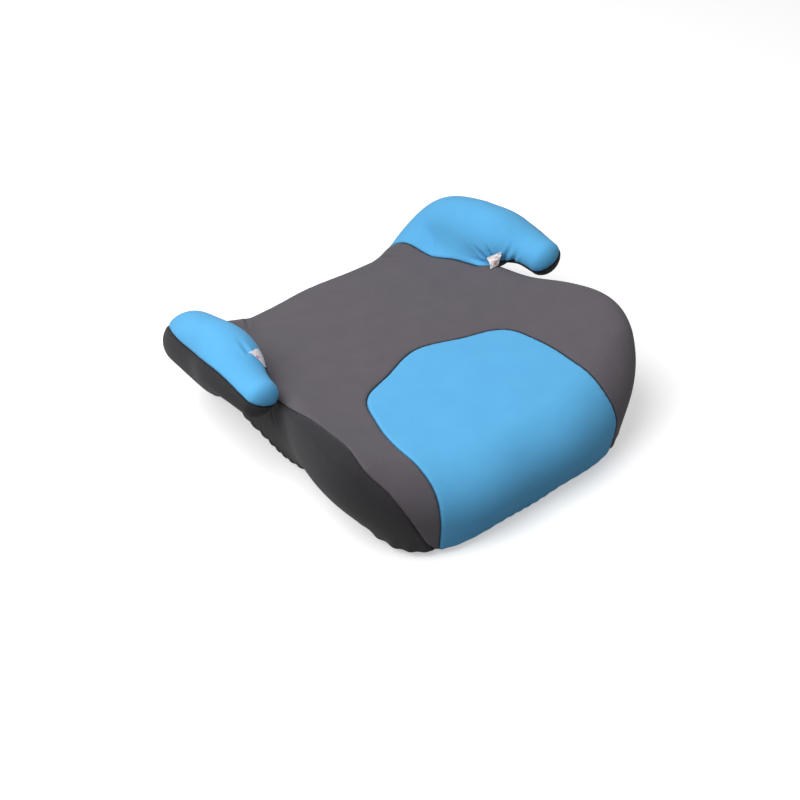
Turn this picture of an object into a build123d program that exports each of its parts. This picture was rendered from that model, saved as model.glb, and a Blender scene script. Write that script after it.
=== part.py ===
from build123d import *

import math
import os

# Backless booster seat: moulded shell, foam, stretch cover and two fixed armrest horns.
# Millimetres, +Z up, front towards -Y, origin at the centre of the footprint on the floor.

os.makedirs("parts", exist_ok=True)

# Layers, outside in. Each layer is the same body, inset by a depth.
COVER_T = 2.0
SEAT_FOAM_T = 10.0
SHELL_T = 3.0
HORN_FOAM_T = 5.0
HORN_SHELL_T = 2.5
ROOT_WALL_T = 3.0
LAYER_GAP = 0.2
SHELL_DEPTH = COVER_T + SEAT_FOAM_T
SHELL_INSIDE = SHELL_DEPTH + SHELL_T
HORN_SHELL_DEPTH = COVER_T + HORN_FOAM_T
HORN_INSIDE = HORN_SHELL_DEPTH + HORN_SHELL_T

# Body: the widest outline (right half, nose to rear), then how far each level stands in from it.
OUTLINE = [(0, -198), (70, -197), (125, -187), (166, -156), (189, -105), (185, -45), (171, 15),
           (163, 85), (142, 138), (98, 172), (0, 185)]
BODY_BOTTOM = 4.0
# (height, inset at the nose, at the flanks, at the rear)
LEVELS = [(BODY_BOTTOM, 14, 38, 12), (28, 5, 16, 5), (56, 0, 0, 0), (82, 12, 6, 4), (98, 32, 14, 14), (112, 60, 34, 34)]

# Top: a trough across X that is carried over a crown along Y.
SEAT_HEIGHT = 88.0
TROUGH_RADIUS = 900.0
CROWN_RADIUS = 1150.0
TOP_SWEEP_DEG = 14.0

# Horns: sections across Y, right side, tail to tip: (y, centre x, centre z, half width, half height).
HORN_SECTIONS = [(190, 152, 82, 12, 14), (182, 153, 84, 26, 27), (160, 158, 90, 40, 40), (130, 167, 97, 41, 41),
                 (100, 176, 103, 37, 37), (70, 185, 111, 31, 28), (40, 191, 117, 25, 23), (15, 191, 116, 22, 20),
                 (4, 190, 115, 16, 15), (-3, 189, 114, 8, 8)]
SMALLEST_SECTION_HALF = 2.0
FULL_INSET_HALF = 20.0
HORN_RUN_ON_Y = -60
PANEL_SEAM_LOW_DEG = -75.0
PANEL_SEAM_HIGH_DEG = 142.0
FOAM_JOINT_Y = 62.0

# Cover panels.
INSERT_REAR_Y = 2.0
INSERT_SHOULDER = (58, -7)
INSERT_CORNER = (104, -42)
INSERT_FLANK = (110, -110)
INSERT_FRONT_HALF = 118.0
SEAM_GAP = 0.2
HEM_WIDTH = 33.0
SIDE_SEAM = [(-260, -6), (-196, 8), (-168, 34), (-125, 62), (-60, 78), (20, 84), (90, 80), (140, 66), (175, 58),
             (215, 58), (260, 58)]
REAR_SEAM_Z = 58.0
REAR_HALF_WIDTH = 92.0
REAR_PANEL_FRONT = 100.0

# Underside.
PLATE_T = 3.0
PLATE_Z = 7.0
PLATE_GAP = 0.4
FOOT_RADIUS = 15.0
FOOT_EDGE_RADIUS = 1.5
FOOT_PLACES = [(86, -120), (-86, -120), (62, 98), (-62, 98)]
ELASTIC_RADIUS = 1.4
ELASTIC_Z = 5.4
ELASTIC_GAP = 1.2
HOOK_GAP = 2.5
HOOK_POINTS = (1, 4, 7, 9, 11, 13, 16, 19)
HOOK_SIZE = (9.0, 9.0, 1.5)
HOOK_FINGER = (7.0, 2.0, 6.0)
HOOK_SLOT_CLEARANCE = 1.0
HOOK_BITE = 0.5
RIB_T = 2.5
RIB_X = (-70, 0, 70)
RIB_Y = (-105, -20, 65)
RIB_FLOOR = 14.0
BOSS_RADIUS = 5.5
BASE_SCREW_RADIUS = 2.0
BASE_SCREW_LENGTH = 14.0
BASE_SCREW_HEAD = (4.0, 1.4)
BASE_RECESS_RADIUS = 4.4
SCREW_CLEARANCE = 0.1

# Armrest fasteners.
BOLT_OFFSETS = (-7.5, 7.5)
BOLT_FOOT = (123.0, 121.0, 66.0)
BOLT_RADIUS = 3.0
BOLT_LENGTH = 18.0
BOLT_HOLE_START = -20.0
BOLT_HOLE_LENGTH = 60.0
BOLT_HEAD = (5.0, 4.0)
WASHER_RADIUS = 6.0
WASHER_T = 1.5
BOLT_PAD_RADIUS = 8.0
BOLT_BOSS_RADIUS = 4.6
BOLT_BOSS_REACH = 21.0
STUB_RADIUS = 15.0
STUB_REACH = 24.0
STUB_WALL_T = 3.0
JOIN_SCREW_Y = (105, 45)
JOIN_SCREW_RADIUS = 1.5
JOIN_SCREW_START = -14.0
JOIN_SCREW_LENGTH = 22.0
JOIN_HOLE_DEPTH = 2.0
JOIN_BOSS_REACH = 60.0
JOIN_BOSS_RADIUS = 4.5
JOIN_HEAD = (3.0, 2.0)
JOIN_RECESS_RADIUS = 3.4

# Wash labels in the crooks.
LABEL_CENTRE = (153, 62, 108)
LABEL_SIZE = (18.0, 1.2, 22.0)
LABEL_TURN_DEG = 35.0

# Moves the finished model so that the footprint is centred on the origin.
FOOTPRINT_SHIFT = 4.4

FAR = 300.0


def closed_outline(half):
    """Mirror a right half (nose to rear) into one closed list of points."""
    left = [(-x, y) for x, y in reversed(half[1:-1])]
    return half + left


def outward_normals(points):
    """Unit normals of a closed list of points, pointing away from the body."""
    normals = []
    for index in range(len(points)):
        before = points[index - 1]
        after = points[(index + 1) % len(points)]
        along = (after[0] - before[0], after[1] - before[1])
        length = math.hypot(*along)
        normals.append((along[1] / length, -along[0] / length))
    return normals


def level_points(nose, flank, rear, depth):
    """The outline, moved in by an amount that blends from nose to flank to rear."""
    points = closed_outline(OUTLINE)
    moved = []
    for (x, y), (nx, ny) in zip(points, outward_normals(points)):
        end = nose if ny < 0 else rear
        inset = flank * nx * nx + end * ny * ny + depth
        moved.append((x - nx * inset, y - ny * inset))
    return moved


def outline_face(points, z):
    """A flat face inside a smooth closed outline at one height, with one curve between each two points."""
    corners = [Vector(x, y, z) for x, y in points]
    following = corners[1:] + corners[:1]
    preceding = corners[-1:] + corners[:-1]
    along = [(after - before).normalized() for before, after in zip(preceding, following)]
    curves = []
    for start, end, leave, arrive in zip(corners, following, along, along[1:] + along[:1]):
        pull = (end - start).length / 3
        curves.append(Bezier(start, start + leave * pull, end - arrive * pull, end))
    return Face(Wire(curves))


def side_walls(depth):
    """The body's side walls, lofted through the levels, with a flat top left for the trough to cut."""
    faces = [outline_face(level_points(nose, flank, rear, depth), z) for z, nose, flank, rear in LEVELS]
    return Solid.make_loft([face.outer_wire() for face in faces])


def top_cutter(depth):
    """All that lies above the saddle-shaped top, lowered by a depth."""
    low = SEAT_HEIGHT - depth
    rise = FAR * FAR / (2 * (TROUGH_RADIUS + depth))
    trough = ThreePointArc((-FAR, 0, low + rise), (0, 0, low), (FAR, 0, low + rise))
    lid = Polyline((FAR, 0, low + rise), (FAR, 0, FAR), (-FAR, 0, FAR), (-FAR, 0, low + rise))
    profile = Face(Wire([trough, *lid.edges()]))
    hinge = Axis((0, 0, SEAT_HEIGHT - CROWN_RADIUS), (1, 0, 0))
    start = profile.rotate(hinge, -TOP_SWEEP_DEG)
    return Solid.revolve(start, 2 * TOP_SWEEP_DEG, hinge)


def body(depth, bottom):
    """The seat body at a depth below the cover's face, from a bottom height up."""
    solid = side_walls(depth) - top_cutter(depth)
    floor = Pos(0, 0, bottom - FAR) * Box(2 * FAR, 2 * FAR, 2 * FAR)
    return (solid - floor).solids().sort_by(SortBy.VOLUME)[-1]


def horn_section(y, x, z, half_width, half_height, depth):
    """One oval section of a horn, in the plane across Y."""
    plane = Plane(origin=(x, y, z), x_dir=(1, 0, 0), z_dir=(0, -1, 0))
    oval = Ellipse(max(half_width - depth, SMALLEST_SECTION_HALF), max(half_height - depth, SMALLEST_SECTION_HALF))
    return (plane * oval).face()


def horn(depth):
    """The right horn at a depth below its cover's face."""
    tail = HORN_SECTIONS[0][0] - depth
    tip = HORN_SECTIONS[-1][0] + depth
    spread = (HORN_SECTIONS[0][0] + HORN_SECTIONS[-1][0]) / 2
    squeeze = (tail - tip) / (HORN_SECTIONS[0][0] - HORN_SECTIONS[-1][0])
    sections = []
    for y, x, z, a, b in HORN_SECTIONS:
        inset = depth * min(1, a / FULL_INSET_HALF)
        sections.append(horn_section(spread + (y - spread) * squeeze, x, z, a, b, inset))
    return Solid.make_loft([face.outer_wire() for face in sections])


def mirrored(solid):
    """The same piece on the left."""
    return solid.mirror(Plane.YZ)


def both(solid):
    """A piece and its mirror image as one cutter."""
    return solid + mirrored(solid)


def ruled_region(outlines):
    """A straight-sided region through a row of polygons."""
    wires = [Wire.make_polygon([Vector(*point) for point in outline], close=True) for outline in outlines]
    return Solid.make_loft(wires, ruled=True)


def horn_stations():
    """The horn's sections, run on past the tail and the tip, for regions that cut right through."""
    tail = (FAR, *HORN_SECTIONS[1][1:])
    tip = (HORN_RUN_ON_Y, *HORN_SECTIONS[-3][1:])
    return [tail, *HORN_SECTIONS[2:-2], tip]


def inner_panel_region(grow):
    """Where the right horn wears its inner panel: inboard of and above the line between its two seams."""
    outlines = []
    low = math.radians(PANEL_SEAM_LOW_DEG)
    high = math.radians(PANEL_SEAM_HIGH_DEG)
    for y, x, z, a, b in horn_stations():
        seam_low = (x + grow - a * math.cos(low), z - grow + b * math.sin(low))
        seam_high = (x + grow - a * math.cos(high), z - grow + b * math.sin(high))
        run = (seam_high[0] - seam_low[0], seam_high[1] - seam_low[1])
        low_end = (seam_low[0] - run[0], seam_low[1] - run[1])
        high_end = (seam_high[0] + run[0], seam_high[1] + run[1])
        outline = [low_end, high_end, (high_end[0], FAR), (-FAR, FAR), (-FAR, low_end[1])]
        outlines.append([(px, y, pz) for px, pz in outline])
    return ruled_region(outlines)


def inboard_region(grow):
    """Everything inboard of the right horn's middle line, where its two shell halves meet."""
    outlines = []
    for y, x, z, a, b in horn_stations():
        outlines.append([(-FAR, y, -FAR), (x + grow, y, -FAR), (x + grow, y, FAR), (-FAR, y, FAR)])
    return ruled_region(outlines)


def insert_region(grow):
    """The plan of the front insert, carried down over the nose."""
    right = [(0, INSERT_REAR_Y + grow), INSERT_SHOULDER, INSERT_CORNER, INSERT_FLANK]
    right = right[:1] + [(x + grow, y + grow / 2) for x, y in right[1:]]
    left = [(-x, y) for x, y in reversed(right[1:])]
    flank = right[-1]
    front = (INSERT_FRONT_HALF + grow, -FAR)
    curve = Spline(*left, *right)
    skirt = Polyline(flank, front, (-front[0], front[1]), (-flank[0], flank[1]))
    plan = Face(Wire([curve, *skirt.edges()]))
    return extrude(Pos(0, 0, -FAR / 2) * plan, amount=FAR, dir=(0, 0, 1)).solid()


def side_region(grow):
    """Below the seam between the top panel and the side panels, on the right."""
    seam = [Vector(0, y, z + grow) for y, z in SIDE_SEAM]
    skirt = Polyline(seam[-1], Vector(0, seam[-1].Y, -FAR), Vector(0, seam[0].Y, -FAR), seam[0])
    profile = Face(Wire([Spline(*seam), *skirt.edges()]))
    return extrude(profile, amount=FAR, dir=(1, 0, 0)).solid()


def rear_region(grow):
    """The plain panel across the back."""
    width = 2 * (REAR_HALF_WIDTH + grow)
    return Pos(0, REAR_PANEL_FRONT + FAR / 2, REAR_SEAM_Z + grow - FAR / 2) * Box(width, FAR, FAR)


def biggest(shape):
    """The one real solid of a cut, without slivers."""
    return shape.solids().sort_by(SortBy.VOLUME)[-1]


def cover_panels(outer, horn_hole):
    """The body's cover, a skin with a hem turned under, cut along its seams."""
    hem_hole = outline_face(level_points(*LEVELS[0][1:], HEM_WIDTH), -FAR)
    opening = extrude(hem_hole, amount=FAR + BODY_BOTTOM + 2 * COVER_T, dir=(0, 0, 1))
    skin = outer - body(COVER_T, BODY_BOTTOM + COVER_T) - opening - both(horn_hole)
    panels = {"cover_front_insert": biggest(skin & insert_region(0))}
    rest = skin - insert_region(SEAM_GAP)
    panels["cover_rear_panel"] = biggest(rest & rear_region(0))
    rest = rest - rear_region(SEAM_GAP)
    side = side_region(0)
    wider = side_region(SEAM_GAP)
    panels["cover_side_panel_right"] = biggest(rest & side)
    panels["cover_side_panel_left"] = biggest(rest & mirrored(side))
    panels["cover_seat_panel"] = biggest(rest - wider - mirrored(wider))
    return panels


def armrest_covers():
    """The right horn's two cover panels."""
    skin = horn(0) - horn(COVER_T) - body(-LAYER_GAP, BODY_BOTTOM)
    return biggest(skin & inner_panel_region(0)), biggest(skin - inner_panel_region(SEAM_GAP))


def along_bolt(offset, start, length, radius):
    """A cylinder on a bolt's line in the right rear corner, from a start to a length further out."""
    plane = Plane(origin=BOLT_FOOT, x_dir=(0, 0, 1), z_dir=(1, 1, 0))
    low = (Align.CENTER, Align.CENTER, Align.MIN)
    return plane * Pos(0, offset, start) * Cylinder(radius, length, align=low)


def join_cylinder(y, start, length, radius):
    """A cylinder across the right horn at a joining screw, starting off its middle line."""
    station = [section for section in HORN_SECTIONS if section[0] >= y][-1]
    following = [section for section in HORN_SECTIONS if section[0] < y][0]
    share = (station[0] - y) / (station[0] - following[0])
    x = station[1] + (following[1] - station[1]) * share
    z = station[2] + (following[2] - station[2]) * share
    plane = Plane(origin=(x, y, z), x_dir=(0, 1, 0), z_dir=(1, 0, 0))
    return plane * Pos(0, 0, start) * Cylinder(radius, length, align=(Align.CENTER, Align.CENTER, Align.MIN))


def horn_stub(shell_face):
    """The short round root that carries the right horn's moulding in to the base shell."""
    room = body(COVER_T + LAYER_GAP, BODY_BOTTOM)
    return biggest((along_bolt(0, 0, STUB_REACH, STUB_RADIUS) & room) - shell_face)


def armrest_shells(shell_face, stub):
    """The right horn's hollow moulding in two halves, with its root, bosses and screw holes."""
    outside = horn(HORN_SHELL_DEPTH) - shell_face
    wall = outside - (horn(HORN_INSIDE) - body(SHELL_DEPTH - ROOT_WALL_T, BODY_BOTTOM)) + stub
    bore_start = STUB_REACH / 2 + ROOT_WALL_T
    wall = wall - along_bolt(0, bore_start, STUB_REACH - bore_start, STUB_RADIUS - STUB_WALL_T)
    solid_horn = outside + stub
    for offset in BOLT_OFFSETS:
        wall = wall + (along_bolt(offset, 0, BOLT_BOSS_REACH, BOLT_BOSS_RADIUS) & solid_horn)
        wall = wall - along_bolt(offset, BOLT_HOLE_START, BOLT_LENGTH - BOLT_HOLE_START, BOLT_RADIUS + SCREW_CLEARANCE)
    for y in JOIN_SCREW_Y:
        wall = wall + (join_cylinder(y, -JOIN_BOSS_REACH, 2 * JOIN_BOSS_REACH, JOIN_BOSS_RADIUS) & outside)
        hole_length = JOIN_SCREW_LENGTH + JOIN_HOLE_DEPTH
        wall = wall - join_cylinder(y, JOIN_SCREW_START - SCREW_CLEARANCE, hole_length, JOIN_SCREW_RADIUS + SCREW_CLEARANCE)
        wall = wall - join_cylinder(y, JOIN_SCREW_START - JOIN_BOSS_REACH, JOIN_BOSS_REACH, JOIN_RECESS_RADIUS)
    return biggest(wall & inboard_region(0)), biggest(wall - inboard_region(SEAM_GAP))


def armrest_foam(shell_face, stub):
    """The thin pad round the right horn, down to the base shell, in a root piece and an arm piece."""
    pad = horn(COVER_T + LAYER_GAP) - horn(HORN_SHELL_DEPTH - LAYER_GAP) - shell_face - stub
    behind = Pos(0, FOAM_JOINT_Y + FAR / 2, 0) * Box(2 * FAR, FAR, 2 * FAR)
    ahead = Pos(0, FOAM_JOINT_Y - LAYER_GAP - FAR / 2, 0) * Box(2 * FAR, FAR, 2 * FAR)
    return biggest(pad & behind), biggest(pad & ahead)


def upright(x, y, z, radius):
    """A tall post from a height up."""
    return Pos(x, y, z) * Cylinder(radius, FAR, align=(Align.CENTER, Align.CENTER, Align.MIN))


def base_shell(shell_face):
    """The moulded seat shell with its ribs, screw bosses and bolt pads."""
    hollow = body(SHELL_INSIDE, BODY_BOTTOM)
    low = (Align.CENTER, Align.CENTER, Align.MIN)
    core = Pos(0, 0, RIB_FLOOR) * Box(RIB_T, 2 * FAR, FAR, align=low)
    for x in RIB_X[::2]:
        core = core + Pos(x, 0, RIB_FLOOR) * Box(RIB_T, 2 * FAR, FAR, align=low)
    for y in RIB_Y:
        core = core + Pos(0, y, RIB_FLOOR) * Box(2 * FAR, RIB_T, FAR, align=low)
    for x, y in grid_places():
        core = core + upright(x, y, PLATE_Z + PLATE_T + SCREW_CLEARANCE, BOSS_RADIUS)
    for offset in BOLT_OFFSETS:
        core = core + both(along_bolt(offset, 0, STUB_REACH, BOLT_PAD_RADIUS))
    shell = (shell_face - hollow) + (core & body(SHELL_DEPTH + SHELL_T / 2, BODY_BOTTOM))
    for x, y in grid_places():
        depth = PLATE_Z + PLATE_T + BASE_SCREW_LENGTH
        shell = shell - (upright(x, y, 0, BASE_SCREW_RADIUS + SCREW_CLEARANCE) - upright(x, y, depth, 2 * BOSS_RADIUS))
    for offset in BOLT_OFFSETS:
        shell = shell - both(along_bolt(offset, BOLT_HOLE_START, BOLT_HOLE_LENGTH, BOLT_RADIUS + SCREW_CLEARANCE))
    return biggest(shell)


def grid_places():
    """The places of the base screws."""
    return [(x, y) for x in RIB_X for y in RIB_Y]


def base_plate():
    """The flat plate that closes the underside, with its screw holes and hook slots."""
    plan = outline_face(level_points(*LEVELS[0][1:], SHELL_INSIDE + PLATE_GAP), PLATE_Z)
    plate = extrude(plan, amount=PLATE_T, dir=(0, 0, 1))
    for x, y in grid_places():
        plate = plate - Pos(x, y, PLATE_Z) * Cylinder(BASE_SCREW_RADIUS + SCREW_CLEARANCE, 3 * PLATE_T)
        plate = plate - Pos(x, y, PLATE_Z) * Cylinder(BASE_RECESS_RADIUS, PLATE_T)
    for frame in hook_frames():
        slot_width = HOOK_FINGER[0] + HOOK_SLOT_CLEARANCE
        slot_depth = HOOK_FINGER[1] + HOOK_SLOT_CLEARANCE
        plate = plate - frame * Pos(0, 0, PLATE_Z) * Box(slot_width, slot_depth, 4 * PLATE_T)
    return biggest(plate)


def hook_frames():
    """Frames at the hem hooks, with +Y out towards the hem."""
    inset = HEM_WIDTH + ELASTIC_GAP + 2 * ELASTIC_RADIUS + HOOK_GAP + HOOK_SIZE[1] / 2
    points = level_points(*LEVELS[0][1:], inset)
    normals = outward_normals(closed_outline(OUTLINE))
    frames = []
    for index in HOOK_POINTS:
        turn = math.degrees(math.atan2(normals[index][1], normals[index][0])) - 90
        frames.append(Pos(*points[index], 0) * Rot(0, 0, turn))
    return frames


def hem_hooks():
    """The plastic hooks that hold the hem elastic to the base plate."""
    hooks = []
    foot_top = PLATE_Z - LAYER_GAP
    for frame in hook_frames():
        foot = frame * Pos(0, 0, foot_top - HOOK_SIZE[2] / 2) * Box(*HOOK_SIZE)
        low = (Align.CENTER, Align.CENTER, Align.MIN)
        finger = frame * Pos(0, 0, foot_top - HOOK_BITE) * Box(*HOOK_FINGER, align=low)
        hooks.append((foot + finger).solid())
    return Compound(hooks)


def hem_elastic():
    """The elastic cord in the hem, a closed loop just inside its edge."""
    path = outline_face(level_points(*LEVELS[0][1:], HEM_WIDTH + ELASTIC_RADIUS + ELASTIC_GAP), ELASTIC_Z).outer_wire()
    plane = Plane(origin=path @ 0, z_dir=path % 0)
    return sweep((plane * Circle(ELASTIC_RADIUS)).face(), path=path).solid()


def feet():
    """Four soft pads that carry the seat."""
    pads = []
    for x, y in FOOT_PLACES:
        pad = Pos(x, y, 0) * Cylinder(FOOT_RADIUS, PLATE_Z, align=(Align.CENTER, Align.CENTER, Align.MIN))
        pads.append(fillet(pad.edges().group_by(Axis.Z)[0], FOOT_EDGE_RADIUS).solid())
    return Compound(pads)


def screw(plane, shank_radius, shank_length, head_radius, head_height):
    """A headed fastener: the head sits below the plane, the shank runs up from it."""
    low = (Align.CENTER, Align.CENTER, Align.MIN)
    shank = plane * Cylinder(shank_radius, shank_length, align=low)
    head = plane * Pos(0, 0, -head_height) * Cylinder(head_radius, head_height, align=low)
    return (shank + head).solid()


def base_screws():
    """The screws that hold the base plate."""
    recess = PLATE_Z + PLATE_T / 2
    return Compound([screw(Plane(origin=(x, y, recess)), BASE_SCREW_RADIUS, BASE_SCREW_LENGTH, *BASE_SCREW_HEAD)
                     for x, y in grid_places()])


def armrest_bolts():
    """The bolts and washers that hold both horns, from inside the base shell."""
    bolts = []
    washers = []
    for offset in BOLT_OFFSETS:
        hole = along_bolt(offset, BOLT_HOLE_START, BOLT_HOLE_LENGTH, BOLT_RADIUS + SCREW_CLEARANCE)
        washer = (along_bolt(offset, -WASHER_T, WASHER_T, WASHER_RADIUS) - hole).solid()
        shank = along_bolt(offset, -WASHER_T, BOLT_LENGTH, BOLT_RADIUS)
        head = along_bolt(offset, -WASHER_T - BOLT_HEAD[1], BOLT_HEAD[1], BOLT_HEAD[0])
        bolt = (shank + head).solid()
        bolts += [bolt, mirrored(bolt)]
        washers += [washer, mirrored(washer)]
    return Compound(bolts), Compound(washers)


def joining_screws():
    """The screws that hold the two halves of each horn together."""
    screws = []
    for y in JOIN_SCREW_Y:
        shank = join_cylinder(y, JOIN_SCREW_START, JOIN_SCREW_LENGTH, JOIN_SCREW_RADIUS)
        head = join_cylinder(y, JOIN_SCREW_START - JOIN_HEAD[1], JOIN_HEAD[1], JOIN_HEAD[0])
        piece = (shank + head).solid()
        screws += [piece, mirrored(piece)]
    return Compound(screws)


def wash_label(outer):
    """The folded label sewn into the right crook."""
    block = Pos(*LABEL_CENTRE) * Rot(0, 0, LABEL_TURN_DEG) * Box(*LABEL_SIZE)
    return biggest(block - outer - horn(0))


def build():
    """Every piece by its node name."""
    shell_face = body(SHELL_DEPTH, BODY_BOTTOM + COVER_T)
    around_shell = body(SHELL_DEPTH - LAYER_GAP, BODY_BOTTOM)
    outer = body(0, BODY_BOTTOM)
    horn_hole = horn(COVER_T)
    stub = horn_stub(around_shell)
    pieces = cover_panels(outer, horn_hole)
    right = {}
    right["armrest_cover_inner"], right["armrest_cover_outer"] = armrest_covers()
    right["armrest_shell_inner"], right["armrest_shell_outer"] = armrest_shells(around_shell, stub)
    stub_room = along_bolt(0, 0, STUB_REACH, STUB_RADIUS + LAYER_GAP)
    right["armrest_foam_root"], right["armrest_foam_arm"] = armrest_foam(around_shell, stub_room)
    right["wash_label"] = wash_label(outer)
    for name, piece in right.items():
        pieces[name + "_right"] = piece
        pieces[name + "_left"] = mirrored(piece)
    root_room = along_bolt(0, 0, 2 * STUB_REACH, STUB_RADIUS + LAYER_GAP)
    foam = body(COVER_T + LAYER_GAP, BODY_BOTTOM + COVER_T + LAYER_GAP) - around_shell - both(horn_hole) - both(root_room)
    pieces["seat_foam"] = biggest(foam)
    pieces["base_shell"] = base_shell(shell_face)
    pieces["base_plate"] = base_plate()
    pieces["hem_elastic"] = hem_elastic()
    pieces["hem_hooks"] = hem_hooks()
    pieces["feet"] = feet()
    pieces["base_screws"] = base_screws()
    pieces["armrest_bolts"], pieces["armrest_washers"] = armrest_bolts()
    pieces["armrest_screws"] = joining_screws()
    return pieces


for node, piece in build().items():
    placed = Pos(0, FOOTPRINT_SHIFT, 0) * piece
    placed.label = node
    export_step(placed, f"parts/{node}.step")
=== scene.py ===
"""Looks of a backless booster seat: sewn stretch cover over foam, armrest horns, wash labels and underside."""

import logging
import math
from dataclasses import dataclass, field, replace
from enum import Enum
from typing import Callable, Sequence

import bmesh
import bpy
import numpy as np
from mathutils import Matrix
from mathutils.kdtree import KDTree


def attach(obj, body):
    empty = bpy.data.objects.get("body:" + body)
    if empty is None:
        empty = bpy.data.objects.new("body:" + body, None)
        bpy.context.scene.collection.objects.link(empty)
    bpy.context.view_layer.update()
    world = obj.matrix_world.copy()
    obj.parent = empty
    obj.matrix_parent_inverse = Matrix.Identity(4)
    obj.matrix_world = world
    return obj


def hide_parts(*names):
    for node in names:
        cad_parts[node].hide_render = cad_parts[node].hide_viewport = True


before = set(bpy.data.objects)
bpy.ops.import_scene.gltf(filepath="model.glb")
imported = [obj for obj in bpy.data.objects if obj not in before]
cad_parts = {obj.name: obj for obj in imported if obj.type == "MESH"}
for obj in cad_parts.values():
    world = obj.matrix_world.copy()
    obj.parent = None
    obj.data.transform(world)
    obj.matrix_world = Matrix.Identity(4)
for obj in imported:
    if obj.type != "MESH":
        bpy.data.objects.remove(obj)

logging.basicConfig(level=logging.INFO, format="%(message)s")
log = logging.getLogger("booster")

MM = 0.001
ROOT = "root"

Field = Callable[[np.ndarray], np.ndarray]
Line = tuple[tuple[float, ...], ...]


# ---------------------------------------------------------------- lines and waves


class SmoothLine:
    """A line through given values that bends evenly through each of them, open or closed."""

    def __init__(self, knots: Sequence[float], values: Sequence, closed: bool = False) -> None:
        """Solve for the bend at every knot.

        Args:
            knots: rising places along the line.
            values: a number or a point at each knot; a closed line repeats its first value.
            closed: whether the bend carries on from the last knot to the first.
        """
        self.knots = np.asarray(knots, float)
        self.values = np.asarray(values, float)
        count = len(self.knots)
        step = np.diff(self.knots)
        flat = self.values.reshape(count, -1)
        slope = np.diff(flat, axis=0) / step[:, None]
        system = np.eye(count)
        load = np.zeros_like(flat)
        for i in range(1, count - 1):
            system[i, i - 1:i + 2] = step[i - 1], 2 * (step[i - 1] + step[i]), step[i]
            load[i] = 6 * (slope[i] - slope[i - 1])
        if closed:
            system[0, [0, 1, -2]] = 2 * (step[0] + step[-1]), step[0], step[-1]
            load[0] = 6 * (slope[0] - slope[-1])
            system[-1, 0] = -1
        self.bend = np.linalg.solve(system, load).reshape(self.values.shape)

    def place(self, at: np.ndarray) -> tuple[np.ndarray, np.ndarray]:
        """Find the value and the slope at some places.

        Args:
            at: places between the first and the last knot.

        Returns:
            The values, and how fast they change there.
        """
        index = np.clip(np.searchsorted(self.knots, at) - 1, 0, len(self.knots) - 2)
        step = self.knots[index + 1] - self.knots[index]
        after = (at - self.knots[index]) / step
        if self.values.ndim > 1:
            after, step = after[..., None], step[..., None]
        before = 1 - after
        low, high = self.values[index], self.values[index + 1]
        low_bend, high_bend = self.bend[index] * step * step / 6, self.bend[index + 1] * step * step / 6
        value = before * low + after * high + (before**3 - before) * low_bend + (after**3 - after) * high_bend
        slope = (high - low - (3 * before**2 - 1) * low_bend + (3 * after**2 - 1) * high_bend) / step
        return value, slope

    def __call__(self, at: np.ndarray) -> np.ndarray:
        """The values at some places."""
        return self.place(np.asarray(at, float))[0]


def follow(line: Line, at: np.ndarray) -> np.ndarray:
    """Read a smooth line that is written as rows.

    Args:
        line: rows of a place along the line and the value or values there.
        at: where to read it; places past its ends count as its ends.

    Returns:
        The value, or a row of values, at each place.
    """
    rows = np.array(line, float)
    values = rows[:, 1] if rows.shape[1] == 2 else rows[:, 1:]
    return SmoothLine(rows[:, 0], values)(np.clip(at, rows[0, 0], rows[-1, 0]))


def unit(vectors: np.ndarray) -> np.ndarray:
    """The same vectors with a length of one."""
    return vectors / np.maximum(np.linalg.norm(vectors, axis=-1, keepdims=True), 1e-6)


def on_right(points: np.ndarray) -> np.ndarray:
    """The same points, with those on the left mirrored to the right."""
    return np.concatenate([np.abs(points[:, :1]), points[:, 1:]], 1)


def ramp(value: np.ndarray, start: float, end: float) -> np.ndarray:
    """Rise gently from 0, where a value is at its start, to 1, where it is at its end.

    Args:
        value: the values.
        start: the value with a share of 0; it may lie above the end.
        end: the value with a share of 1.

    Returns:
        The shares, held between 0 and 1.
    """
    share = np.clip((value - start) / (end - start), 0, 1)
    return share * share * (3 - 2 * share)


def ripple(points: np.ndarray, wavelength: float, seed: int, waves: int = 8) -> np.ndarray:
    """Lay uneven waves over a surface.

    Args:
        points: places in millimetres.
        wavelength: the usual distance between two crests.
        seed: which of many patterns.
        waves: how many plain waves, each with a way and a length of its own, add up to the pattern.

    Returns:
        A height at each point, mostly between -1 and 1.
    """
    chance = np.random.default_rng(seed)
    total = np.zeros(len(points))
    for _ in range(waves):
        way = chance.normal(size=3)
        way *= 2 * math.pi / (wavelength * chance.uniform(0.75, 1.4) * np.linalg.norm(way))
        total += np.sin(points @ way + chance.uniform(0, 2 * math.pi))
    return total / 3.5


def rounded_cut(first: np.ndarray, second: np.ndarray, radius: np.ndarray | float) -> np.ndarray:
    """Keep what two solids share, with the edge between them rounded.

    Args:
        first: the distance outside one solid.
        second: the distance outside the other.
        radius: the edge's radius.

    Returns:
        The distance outside what they share.
    """
    corner = np.hypot(np.maximum(first + radius, 0), np.maximum(second + radius, 0))
    return np.minimum(-radius, np.maximum(first, second)) + corner


def soft_union(first: np.ndarray, second: np.ndarray, radius: np.ndarray | float) -> np.ndarray:
    """Join two solids, with a fillet where they meet.

    Args:
        first: the distance outside one solid.
        second: the distance outside the other.
        radius: the fillet's size.

    Returns:
        The distance outside both.
    """
    share = np.clip(0.5 + 0.5 * (second - first) / radius, 0, 1)
    return second + (first - second) * share - radius * share * (1 - share)


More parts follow.
